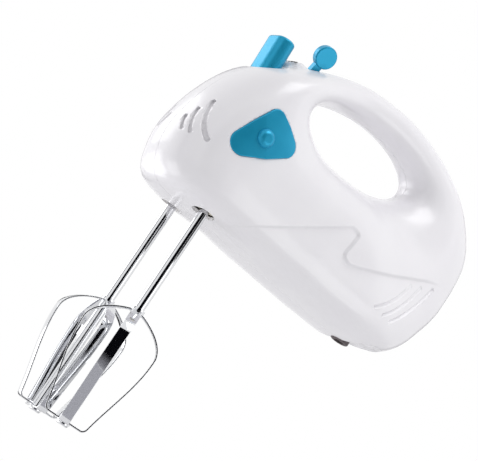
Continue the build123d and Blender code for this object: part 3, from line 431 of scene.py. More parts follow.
def circle(radius: float, centre: Flat = (0.0, 0.0), steps: int = 48) -> list[Flat]:
    """Corners of a round outline."""
    turns = [2 * math.pi * step / steps for step in range(steps)]
    return [(centre[0] + radius * math.cos(turn), centre[1] + radius * math.sin(turn)) for turn in turns]


def slot_outline(spine: Sequence[Flat], width: float, steps: int = 8) -> list[Flat]:
    """Outline of a slot with round ends along a line of points.

    Args:
        spine: points along the middle of the slot.
        width: width of the slot.
        steps: sides of each round end.

    Returns:
        The corners of the outline in order.
    """
    line = np.array(spine, float)
    along = np.gradient(line, axis=0)
    along /= np.linalg.norm(along, axis=1)[:, None]
    square = np.stack([-along[:, 1], along[:, 0]], 1) * width / 2
    corners = [*(line + square)]
    for end, (x, y), back in ((line[-1], square[-1], (line - square)[::-1]), (line[0], -square[0], ())):
        for step in range(1, steps):
            turn = -math.pi * step / steps
            cosine, sine = math.cos(turn), math.sin(turn)
            corners.append(end + (x * cosine - y * sine, x * sine + y * cosine))
        corners += [*back]
    return [tuple(corner) for corner in corners]


def arc_through(start: Point, middle: Point, end: Point, steps: int = 24) -> list[Flat]:
    """Points along the circle arc through three flat points."""
    (ax, ay), (bx, by), (cx, cy) = start, middle, end
    d = 2 * (ax * (by - cy) + bx * (cy - ay) + cx * (ay - by))
    ux = ((ax**2 + ay**2) * (by - cy) + (bx**2 + by**2) * (cy - ay) + (cx**2 + cy**2) * (ay - by)) / d
    uy = ((ax**2 + ay**2) * (cx - bx) + (bx**2 + by**2) * (ax - cx) + (cx**2 + cy**2) * (bx - ax)) / d
    radius = math.hypot(ax - ux, ay - uy)
    first, last = (math.atan2(y - uy, x - ux) for x, y in (start, end))
    sweep = (last - first + math.pi) % (2 * math.pi) - math.pi
    turns = [first + sweep * step / steps for step in range(steps + 1)]
    return [(ux + radius * math.cos(turn), uy + radius * math.sin(turn)) for turn in turns]


def hull(points: Sequence[Flat]) -> list[Flat]:
    """Convex outline around flat points."""
    ordered = sorted(set(points))
    chains = []
    for run in (ordered, ordered[::-1]):
        chain: list[Flat] = []
        for x, y in run:
            while len(chain) > 1:
                (ax, ay), (bx, by) = chain[-2:]
                if (bx - ax) * (y - ay) - (by - ay) * (x - ax) > 0:
                    break
                chain.pop()
            chain.append((x, y))
        chains.append(chain[:-1])
    return chains[0] + chains[1]


def badge_outline(gap: float, steps: int) -> list[Flat]:
    """Outline of the badge, grown by a gap, from circles of so many steps."""
    return hull([p for x, z, radius in BADGE_ROUNDS for p in circle(radius + gap, (x, z), steps)])


def grown(tree: Tree, seed: Mesh, sizes: Inputs) -> Mesh:
    """Run a Geometry Nodes tree on a mesh and keep the result as a plain mesh.

    Args:
        tree: the tree, whose inputs are named.
        seed: the mesh that the tree starts from.
        sizes: the value of each named input.

    Returns:
        The plain mesh, with the material that the tree set.
    """
    carrier = placed("carrier", seed)
    step = carrier.modifiers.new("grow", "NODES")
    step.node_group = tree
    for item in tree.interface.items_tree:
        if item.in_out == "INPUT" and item.name in sizes:
            step[item.identifier] = sizes[item.name]
    return plain(carrier)


def new_tree(
    name: str, seed: str, floats: Sequence[str], vectors: Sequence[str]
) -> tuple[Tree, bpy.types.NodeOutputs]:
    """Start a Geometry Nodes tree with named inputs.

    Args:
        name: name of the tree.
        seed: name of the mesh that it starts from.
        floats: names of its plain sizes.
        vectors: names of its places, turns and blocks.

    Returns:
        The tree and the sockets that its inputs come out of.
    """
    tree = bpy.data.node_groups.new(name, "GeometryNodeTree")
    kinds = {"Geometry": (seed,), "Float": floats, "Vector": vectors, "Material": ("Finish",)}
    for kind, labels in kinds.items():
        for label in labels:
            tree.interface.new_socket(label, in_out="INPUT", socket_type=f"NodeSocket{kind}")
    tree.interface.new_socket("Geometry", in_out="OUTPUT", socket_type="NodeSocketGeometry")
    return tree, add_node(tree, "NodeGroupInput").outputs


def close_tree(tree: Tree, shape: Socket, finish: Socket) -> None:
    """End a tree in Realize Instances and Set Material."""
    real = add_node(tree, "GeometryNodeRealizeInstances", {"Geometry": shape})
    dressed = add_node(tree, "GeometryNodeSetMaterial", {"Geometry": real.outputs[0], "Material": finish})
    add_node(tree, "NodeGroupOutput", {0: dressed.outputs[0]})


def finished(
    name: str,
    mesh: Mesh,
    finish: Material,
    body: str,
    stands_for: Sequence[str] = (),
    crease: float = 35.0,
) -> bpy.types.Object:
    """Turn a mesh in millimetres into a dressed piece that rides on a body.

    Args:
        name: name of the piece.
        mesh: its mesh in millimetres, in the part's frame.
        finish: its material.
        body: the CAD body that it moves with.
        stands_for: CAD nodes that it replaces.
        crease: edges sharper than this many degrees stay sharp.

    Returns:
        The piece.
    """
    mesh.name = name
    mesh.transform(Matrix.Scale(MM, 4))
    mesh.materials.clear()
    mesh.materials.append(finish)
    mesh.shade_smooth()
    mesh.set_sharp_from_angle(angle=math.radians(crease))
    piece = placed(name, mesh)
    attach(piece, body)
    if stands_for:
        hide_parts(*stands_for)
    LOG.info("%s: %d faces on %s", name, len(mesh.polygons), body)
    return piece


# ---------------------------------------------------------------- body surface
@dataclass(frozen=True)
class BodySurface:
    """Skin of the body: superellipse sections that fan around the handle opening."""

    stations: tuple[tuple[float, float, float, float], ...] = (
        (184.0, 52.0, 27.5, 2.3),
        (182.0, 86.0, 24.0, 2.2),
        (161.0, 111.0, 20.0, 2.2),
        (135.0, 124.5, 17.5, 2.2),
        (112.0, 130.5, 16.0, 2.2),
        (91.0, 132.7, 15.2, 2.2),
        (72.0, 131.6, 15.0, 2.2),
        (56.0, 129.2, 15.5, 2.2),
        (44.0, 125.6, 16.5, 2.2),
        (31.5, 120.5, 18.5, 2.2),
        (17.0, 113.0, 22.5, 2.2),
        (0.0, 103.2, 28.0, 2.2),
        (-20.0, 86.5, 33.5, 2.2),
        (-33.5, 61.0, 36.5, 2.25),
        (-40.0, 33.0, 38.0, 2.4),
        (-36.5, 13.0, 38.5, 2.7),
        (-27.0, 2.5, 38.8, 3.3),
        (-8.0, 0.0, 39.0, 4.0),
        (14.0, 0.0, 39.2, 4.4),
        (40.0, 0.0, 39.3, 4.5),
        (80.0, 0.0, 39.5, 4.5),
        (118.0, 0.0, 38.8, 4.2),
        (146.0, 1.5, 37.0, 3.6),
        (164.0, 12.0, 34.0, 3.0),
        (176.0, 29.0, 31.0, 2.5),
    )
    centre: Flat = (72.0, 93.0)
    half_length: float = 48.0
    half_height: float = 18.0
    tilt: float = 7.0
    shoulder: float = 2.2
    slant_step: float = 0.01
    dense: int = 360
    samples_each: int = 60

    def outline(self, place: np.ndarray) -> np.ndarray:
        """Outline X, Z, half width and exponent at places along the stations."""
        table = np.array(self.stations)
        first = np.floor(place).astype(int)
        part = (place - first)[:, None]
        before, here, after, beyond = (table[(first + step) % len(table)] for step in (-1, 0, 1, 2))
        slope_in, slope_out = (after - before) / 2, (beyond - here) / 2
        cubic = 2 * here - 2 * after + slope_in + slope_out
        square = 3 * after - 3 * here - 2 * slope_in - slope_out
        return here + part * (slope_in + part * (square + part * cubic))

    def even_places(self, count: int) -> np.ndarray:
        """Places that stand evenly along the outline."""
        samples = np.linspace(0, len(self.stations), self.samples_each * len(self.stations) + 1)
        line = self.outline(samples)[:, :2]
        length = np.concatenate([[0], np.cumsum(np.linalg.norm(np.diff(line, axis=0), axis=1))])
        return np.interp(np.linspace(0, length[-1], count + 1)[:-1], length, samples)

    def grid(self, places: np.ndarray, steps: int, inset: float) -> np.ndarray:
        """Points of the right-hand half of the skin.

        Args:
            places: where the sections stand along the stations.
            steps: how many steps each half section has, from the opening to the outline.
            inset: distance inside the skin.

        Returns:
            Points by section and step.
        """
        out_x, out_z, half_width, exponent = self.outline(places).T
        ahead = self.outline(places + self.slant_step)
        radial = np.stack([out_x - self.centre[0], out_z - self.centre[1]], 1)
        length = np.linalg.norm(radial, axis=1)
        direction = radial / length[:, None]
        tangent = ahead[:, :2] - np.stack([out_x, out_z], 1)
        tangent /= np.linalg.norm(tangent, axis=1)[:, None]
        slant = np.abs(tangent[:, 0] * direction[:, 1] - tangent[:, 1] * direction[:, 0])
        turned = np.arctan2(radial[:, 1], radial[:, 0]) - math.radians(self.tilt)
        inner = 1 / np.hypot(np.cos(turned) / self.half_length, np.sin(turned) / self.half_height) + inset
        outer = length - inset / slant
        middle, reach = (inner + outer) / 2, (outer - inner) / 2
        turns = np.linspace(math.pi, 0, self.dense + 1)[None, :]
        power = np.where(np.cos(turns) > 0, exponent[:, None], self.shoulder)
        bulge = np.abs(np.cos(turns) / reach[:, None]) ** power
        bulge = bulge + np.abs(np.sin(turns) / (half_width - inset)[:, None]) ** power
        radius = bulge ** (-1 / power)
        along = middle[:, None] + radius * np.cos(turns)
        across = radius * np.sin(turns)
        across[:, [0, -1]] = 0
        points = np.empty((len(places), steps + 1, 3))
        for row in range(len(places)):
            travel = np.hypot(np.diff(along[row]), np.diff(across[row]))
            walked = np.concatenate([[0], np.cumsum(travel)])
            even = np.linspace(0, walked[-1], steps + 1)
            reach_out = np.interp(even, walked, along[row])
            points[row, :, 0] = self.centre[0] + direction[row, 0] * reach_out
            points[row, :, 1] = np.interp(even, walked, across[row])
            points[row, :, 2] = self.centre[1] + direction[row, 1] * reach_out
        return points

    def half_solid(self, inset: float, sections: int, steps: int, overlap: float) -> Mesh:
        """Closed right-hand half of the body, inset from the skin and a little past the parting plane.

        Args:
            inset: distance inside the skin.
            sections: how many sections stand along the outline.
            steps: how many steps each has.
            overlap: how far it reaches past the parting plane.

        Returns:
            The closed mesh.
        """
        points = self.grid(self.even_places(sections), steps, inset)
        points[:, [0, -1], 1] = -overlap
        faces = []
        for row in range(sections):
            after = (row + 1) % sections
            here_0, after_0 = row * (steps + 1), after * (steps + 1)
            faces += [(here_0 + k, after_0 + k, after_0 + k + 1, here_0 + k + 1) for k in range(steps)]
            faces.append((here_0, here_0 + steps, after_0 + steps, after_0))
        return mesh_from("half_solid", points.reshape(-1, 3), faces)


@dataclass(frozen=True)
class Relief:
    """Shallow forms of the skin: stepped line, heel grooves, scale ridge and the dish around the button."""

    step_line: tuple[Flat, ...] = (
        (8.0, -1.5),
        (16.0, 4.8),
        (33.8, 17.8),
        (76.3, 47.4),
        (82.7, 46.4),
        (80.1, 30.6),
        (86.8, 28.2),
        (114.6, 39.7),
        (152.1, 58.2),
        (165.0, 62.0),
    )
    step_corners: tuple[float, ...] = (20.0, 40.0, 2.6, 2.6, 3.2, 4.5, 40.0, 20.0)
    corner_share: float = 0.45
    corner_points: int = 12
    line_spacing: float = 0.5
    step_depth: float = 1.6
    step_blend: float = 2.4
    step_reach: float = 26.0
    step_fade: float = 26.0
    side_from: float = 14.0
    grooves: tuple[tuple[Flat, Flat, Flat], ...] = (
        ((139.1, 46.9), (131.2, 32.4), (119.8, 20.4)),
        ((147.6, 50.5), (139.9, 34.2), (128.5, 20.0)),
        ((157.3, 55.4), (148.7, 36.8), (136.4, 20.2)),
    )
    groove_half_width: float = 1.5
    groove_depth: float = 1.55
    ridge_x: float = 5.0
    ridge_half: Flat = (8.0, 13.0)
    ridge_height: float = 2.8
    ridge_slope: float = 1.6
    ridge_above: float = 90.0
    ridge_fine: float = 1.3
    dish_x: float = -9.2
    dish_half: Flat = (9.5, 17.0)
    dish_depth: float = 1.55
    dish_slope: float = 2.5
    dish_above: float = 80.0
    dish_fine: float = 1.2
    near: float = 2.6

    def rounded_line(self) -> np.ndarray:
        """The stepped line with its corners rounded, as evenly spaced points."""
        corners = np.array(self.step_line)
        path = [corners[0]]
        for before, here, after, radius in zip(corners, corners[1:], corners[2:], self.step_corners):
            back, ahead = before - here, after - here
            back_length, ahead_length = np.linalg.norm(back), np.linalg.norm(ahead)
            reach = min(radius, back_length * self.corner_share, ahead_length * self.corner_share)
            start, end = here + back / back_length * reach, here + ahead / ahead_length * reach
            for part in np.linspace(0, 1, self.corner_points):
                path.append((1 - part) ** 2 * start + 2 * part * (1 - part) * here + part**2 * end)
        path.append(corners[-1])
        line = np.array(path)
        walked = np.concatenate([[0], np.cumsum(np.linalg.norm(np.diff(line, axis=0), axis=1))])
        even = np.linspace(0, walked[-1], int(walked[-1] / self.line_spacing))
        return np.stack([np.interp(even, walked, line[:, axis]) for axis in (0, 1)], 1)

    @staticmethod
    def nearest(flat: np.ndarray, line: np.ndarray) -> tuple[np.ndarray, np.ndarray, np.ndarray]:
        """Distance to a line, side of it and how far along it the nearest place is.

        Args:
            flat: points as X and Z.
            line: points of the line in order.

        Returns:
            Unsigned distance, +1 on the line's right-hand side and -1 on its left, and the distance along it.
        """
        along = np.diff(line, axis=0)
        length = np.linalg.norm(along, axis=1)
        offset = flat[:, None, :] - line[None, :-1, :]
        part = np.clip((offset * along[None]).sum(2) / length[None] ** 2, 0, 1)
        gap = offset - part[:, :, None] * along[None]
        distance = np.linalg.norm(gap, axis=2)
        best = distance.argmin(1)
        row = np.arange(len(flat))
        cross = along[best, 0] * gap[row, best, 1] - along[best, 1] * gap[row, best, 0]
        walked = np.concatenate([[0], np.cumsum(length)])[best] + part[row, best] * length[best]
        return distance[row, best], np.where(cross < 0, 1.0, -1.0), walked

    @staticmethod
    def ease(value: np.ndarray) -> np.ndarray:
        """Smooth step from zero to one."""
        value = np.clip(value, 0, 1)
        return value * value * (3 - 2 * value)

    @staticmethod
    def on_top(points: np.ndarray, x: float, half: Flat, above: float) -> tuple[np.ndarray, ...]:
        """Points around a form on top of the body.

        Args:
            points: points of the plain skin.
            x: middle of the form.
            half: its half length and half width.
            above: height below which no point is taken.

        Returns:
            Which points they are, and how far each lies from the middle along and across, in half sizes.
        """
        near = np.abs(points[:, 0] - x) < 2 * half[0]
        top = np.flatnonzero((points[:, 2] > above) & near)
        return top, np.abs(points[top, 0] - x) / half[0], np.abs(points[top, 1]) / half[1]

    def depth(self, points: np.ndarray) -> tuple[np.ndarray, np.ndarray]:
        """How deep the skin lies below the plain body, and where the mesh has to be fine.

        Args:
            points: points of the plain skin.

        Returns:
            Depth in millimetres and whether a form's edge is near, for each point.
        """
        depth = np.zeros(len(points))
        fine = np.zeros(len(points), bool)
        on_side = np.abs(points[:, 1]) > self.side_from
        flat = points[:, [0, 2]]
        line = self.rounded_line()
        low, high = line.min(0) - self.step_reach, line.max(0) + self.near
        chosen = np.flatnonzero(on_side & (flat >= low).all(1) & (flat <= high).all(1))
        distance, side, walked = self.nearest(flat[chosen], line)
        total = np.linalg.norm(np.diff(line, axis=0), axis=1).sum()
        signed = distance * side
        profile = self.ease(signed / self.step_blend + 0.5) * (1 - self.ease(signed / self.step_reach))
        ends = self.ease(walked / self.step_fade) * self.ease((total - walked) / self.step_fade)
        depth[chosen] += self.step_depth * profile * ends
        fine[chosen] |= distance < self.near
        for start, middle, end in self.grooves:
            distance, _, _ = self.nearest(flat[chosen], np.array(arc_through(start, middle, end)))
            depth[chosen] += self.groove_depth * (1 - self.ease(distance / self.groove_half_width))
            fine[chosen] |= distance < self.near
        top, run, rise = self.on_top(points, self.ridge_x, self.ridge_half, self.ridge_above)
        swell = self.ridge_slope - self.ridge_slope * np.hypot(run, rise)
        depth[top] -= self.ridge_height * self.ease(swell)
        fine[top] |= (run < self.ridge_fine) & (rise < self.ridge_fine)
        top, run, rise = self.on_top(points, self.dish_x, self.dish_half, self.dish_above)
        away = np.hypot(run, rise)
        depth[top] += self.dish_depth * self.ease(self.dish_slope - self.dish_slope * away)
        fine[top] |= away < self.dish_fine
        return depth, fine


@dataclass
class Housing:
    """The two moulded halves of the body, their seams, forms and openings."""

    surface: BodySurface = BodySurface()
    relief: Relief = Relief()
    sections: int = 400
    steps: int = 80
    finer: int = 4
    wall: float = 2.2
    shell_share: float = 0.86
    core_share: float = 0.76
    core_overlap: float = 0.4
    core_grid: tuple[int, int] = (300, 60)
    seam_half_width: float = 0.16
    seam_depth: float = 0.45
    reach: float = 60.0
    vent_turn: float = 35.0
    vent_span: Flat = (20.0, 80.0)
    vents: tuple[tuple[Flat, Flat, float, float], ...] = (
        ((-15.1, 38.8), (-11.8, 30.8), 0.7, 2.4),
        ((-10.8, 45.5), (-5.2, 30.5), 1.6, 2.6),
        ((-5.4, 52.8), (6.1, 30.8), 3.4, 3.2),
    )
    button_place: Flat = (-9.2, 95.4)
    button_lean: float = 2.6
    button_slot: Flat = (13.2, 20.2)
    button_round: int = 16
    button_sink: float = 12.0
    button_rise: float = 18.5
    lever_x: float = 15.2
    lever_slot: Flat = (5.7, 14.4)
    lever_slot_z: Flat = (103.0, 128.0)
    recess_place: Flat = (146.0, 1.8)
    recess_half: Flat = (11.0, 4.0)
    recess_tilt: float = 12.0
    recess_round: int = 72
    socket_radius: float = 7.2
    socket_span: Flat = (-1.0, 5.2)
    badge_gap: float = 0.15
    badge_round: int = 96
    badge_sink: float = 1.0
    badge_from: float = 20.0
    badge_overlap: float = 1.0
    screw_head: float = 3.45

    def shell(self) -> Mesh:
        """Dense closed shell of the right-hand half, with its relief and the chamfer along the seam."""
        finer, sections, steps = self.finer, self.sections, self.steps
        places = self.surface.even_places(sections)
        ahead = np.append(places[1:], len(self.surface.stations))
        parts = np.arange(finer) / finer
        fine_places = (places[:, None] + (ahead - places)[:, None] * parts).ravel()
        table = self.surface.grid(fine_places, steps * finer, 0.0)
        along = np.roll(table, -1, 0) - np.roll(table, 1, 0)
        up = np.gradient(table, axis=1)
        normals = np.cross(along, up)
        normals /= np.linalg.norm(normals, axis=2)[:, :, None]
        depth, fine = self.relief.depth(table.reshape(-1, 3))
        skin = table - normals * depth.reshape(table.shape[:2])[:, :, None]
        skin[:, [0, -1], 1] = self.seam_half_width
        near = fine.reshape(sections, finer, -1)[:, :, : steps * finer].reshape(sections, finer, steps, finer)
        split = near.any((1, 3))
        rows, columns = table.shape[:2]
        index = -np.ones((rows, columns), int)
        used: list[tuple[int, int]] = []

        def at(row: int, column: int) -> int:
            """Number of the vertex at a place of the fine table."""
            row %= rows
            if index[row, column] < 0:
                index[row, column] = len(used)
                used.append((row, column))
            return int(index[row, column])

        faces: list[Sequence[int]] = []
        # edges of a cell in order: where each starts, the way along it and the cell beyond it
        edges = (
            ((0, 0), (1, 0), (0, -1)),
            ((1, 0), (0, 1), (1, 0)),
            ((1, 1), (-1, 0), (0, 1)),
            ((0, 1), (0, -1), (-1, 0)),
        )
        for i in range(sections):
            for j in range(steps):
                r, c = i * finer, j * finer
                if split[i, j]:
                    for a in range(r, r + finer):
                        for b in range(c, c + finer):
                            faces.append([at(a, b), at(a + 1, b), at(a + 1, b + 1), at(a, b + 1)])
                    continue
                ring = []
                for (row, column), (down, across), (next_i, next_j) in edges:
                    beyond = j + next_j
                    divided = 0 <= beyond < steps and split[(i + next_i) % sections, beyond]
                    for k in range(finer if divided else 1):
                        ring.append(at(r + row * finer + down * k, c + column * finer + across * k))
                faces.append(ring)
        inner_steps = steps // 3
        inner = self.surface.grid(places, inner_steps, self.wall * self.shell_share)
        lip = (skin - normals * self.seam_depth)[::finer][:, [0, -1]]
        lip[:, :, 1] = 0.0
        lip_start = len(used)
        inner_start = lip_start + 2 * sections
        for i in range(sections):
            after = (i + 1) % sections
            here_0, after_0 = (inner_start + k * (inner_steps + 1) for k in (i, after))
            for end, column in enumerate((0, columns - 1)):
                spread = range(finer + 1) if split[i, -end] else (0, finer)
                rim = [at(i * finer + k, column) for k in spread]
                low_here, low_after = (lip_start + 2 * k + end for k in (i, after))
                edge_here, edge_after = (start + end * inner_steps for start in (here_0, after_0))
                for face in ([*rim, low_after, low_here], [low_here, low_after, edge_after, edge_here]):
                    faces.append(face if end else face[::-1])
            faces += [(here_0 + k + 1, after_0 + k + 1, after_0 + k, here_0 + k) for k in range(inner_steps)]
        outer = skin[tuple(np.array(used).T)]
        points = np.concatenate([outer, lip.reshape(-1, 3), inner.reshape(-1, 3)])
        return mesh_from("shell", points, faces)

    def cutters(self, side: int) -> Mesh:
        """Everything that is open in one half, as one mesh.

        Args:
            side: -1 for the left half and 1 for the right.

        Returns:
            The cutters, where the right-hand half's own coordinates have them.
        """
        level, upright = Matrix.Identity(4), axes((1, 0, 0), (0, 0, 1), (0, -1, 0))
        angles = (self.vent_turn, self.button_lean, self.recess_tilt)
        turn, lean, tilt = (math.radians(angle) for angle in angles)
        slanted = axes((math.sin(turn), math.cos(turn), 0), (0, 0, 1), (-math.cos(turn), math.sin(turn), 0))
        tools = []
        for top, bottom, bow, width in self.vents:
            middle = ((top[0] + bottom[0]) / 2 - bow, (top[1] + bottom[1]) / 2)
            outline = slot_outline(arc_through(top, middle, bottom), width)
            tools.append(prism(outline, slanted, *self.vent_span))
        button_x, button_z = self.button_place
        leaning = axes(
            (math.cos(lean), 0, math.sin(lean)),
            (0, 1, 0),
            (-math.sin(lean), 0, math.cos(lean)),
            (button_x, 0, button_z),
        )
        wide, long = self.button_slot
        run = (long - wide) / 2
        outline = slot_outline([(0, -run), (0, 0), (0, run)], wide, self.button_round)
        tools.append(prism(outline, leaning, -self.button_sink, self.button_rise))
        half_x, half_y = (extent / 2 for extent in self.lever_slot)
        corners = [(self.lever_x + x * half_x, y * half_y) for x, y in SQUARE]
        tools.append(prism(corners, level, *self.lever_slot_z))
        (middle_x, middle_z), (half_long, half_high) = self.recess_place, self.recess_half
        cosine, sine = math.cos(tilt), math.sin(tilt)
        flat = [(x * half_long, z * half_high) for x, z in circle(1.0, steps=self.recess_round)]
        outline = [(middle_x + x * cosine - z * sine, middle_z + x * sine + z * cosine) for x, z in flat]
        tools.append(prism(outline, upright, -self.reach, self.reach))
        tools.append(prism(circle(self.socket_radius, (0, AXIS_SPACING / 2)), level, *self.socket_span))
        if side > 0:
            for x, seat, z in SCREW_SEATS:
                tools.append(prism(circle(self.screw_head, (x, z)), upright, -self.reach, -seat))
        outline = badge_outline(self.badge_gap, self.badge_round)
        pocket = prism(outline, upright, -self.reach, -self.badge_from)
        floor = self.surface.half_solid(self.badge_sink, *self.core_grid, self.badge_overlap)
        tools.append(combine(pocket, floor, Part.CUT))
        return join("cutters", tools)

    def inside(self, name: str, side: int) -> Mesh:
        """Bosses, ribs and the inner part of the wall, from the CAD half.

        Args:
            name: left or right.
            side: -1 for the left half and 1 for the right.

        Returns:
            The mesh in millimetres, on the right-hand side.
        """
        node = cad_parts[f"housing_{name}"]
        copy = bpy.data.meshes.new("cad_half")
        with opened(node.data, copy) as shape:
            bmesh.ops.remove_doubles(shape, verts=shape.verts, dist=1e-7)
            enlarged = Matrix.Diagonal((1 / MM, side / MM, 1 / MM, 1))
            bmesh.ops.transform(shape, matrix=enlarged, verts=shape.verts)
            if side < 0:
                bmesh.ops.reverse_faces(shape, faces=shape.faces)
        core = self.surface.half_solid(self.wall * self.core_share, *self.core_grid, self.core_overlap)
        return combine(copy, core, Part.COMMON)

    def build(self, name: str, finish: Material) -> bpy.types.Object:
        """Build and dress one half.

        Args:
            name: left or right.
            finish: the moulded plastic.

        Returns:
            The piece that stands for the CAD half.
        """
        side = SIDES[name]
        half = combine(self.shell(), self.cutters(side), Part.CUT)
        half = combine(half, self.inside(name, side), Part.JOIN)
        if side < 0:
            with opened(half) as shape:
                bmesh.ops.transform(shape, matrix=Matrix.Diagonal((1, -1, 1, 1)), verts=shape.verts)
                bmesh.ops.reverse_faces(shape, faces=shape.faces)
        return finished(f"housing_shell_{name}", half, finish, "body", (f"housing_{name}",))


@dataclass
class SpeedScale:
    """Raised digits on the ridge in front of the speed lever."""

    digits: str = "012345"
    size: float = 3.4
    spacing: float = 2.9
    thickness: float = 0.5
    x: float = 2.6
    crest: Flat = (9.5, 12.0)
    crest_grid: tuple[int, int] = (250, 160)
    crest_from: float = 95.0
    slope_reach: tuple[int, int] = (6, 3)
    surface: BodySurface = BodySurface()

    def build(self, finish: Material, lift: float) -> bpy.types.Object:
        """Build the row of digits, each turned to lie on the crest.

        Args:
            finish: the black plastic that they are printed in.
            lift: height of the ridge above the plain skin.

        Returns:
            The digits as one piece.
        """
        rows, columns = self.crest_grid
        down, across = self.slope_reach
        grid = self.surface.grid(np.linspace(*self.crest, rows), columns, 0.0)
        far = FAR * (grid[:, :, 2] < self.crest_from)
        meshes = []
        for place, digit in enumerate(self.digits):
            y = (place - (len(self.digits) - 1) / 2) * self.spacing
            gap = np.hypot(grid[:, :, 0] - self.x, grid[:, :, 1] - abs(y)) + far
            row, column = np.unravel_index(gap.argmin(), gap.shape)
            spot = grid[row, column]
            ahead = grid[min(row + down, rows - 1), column] - grid[max(row - down, 0), column]
            beside = grid[row, min(column + across, columns)] - grid[row, column - across]
            normal = Vector(np.cross(ahead, beside)).normalized()
            normal.y *= math.copysign(1, y)
            away = Vector((-1, 0, 0))
            away = (away - normal * away.dot(normal)).normalized()
            text = bpy.data.curves.new("digit", "FONT")
            text.body = digit
            text.size = self.size
            text.extrude = self.thickness / 2
            text.align_x = text.align_y = "CENTER"
            mesh = plain(placed("digit", text))
            origin = Vector((spot[0], y, spot[2])) + normal * lift
            mesh.transform(axes(away.cross(normal), away, normal, origin))
            meshes.append(mesh)
        digits = join("speed_digits", meshes)
        return finished("speed_digits", digits, finish, "body")


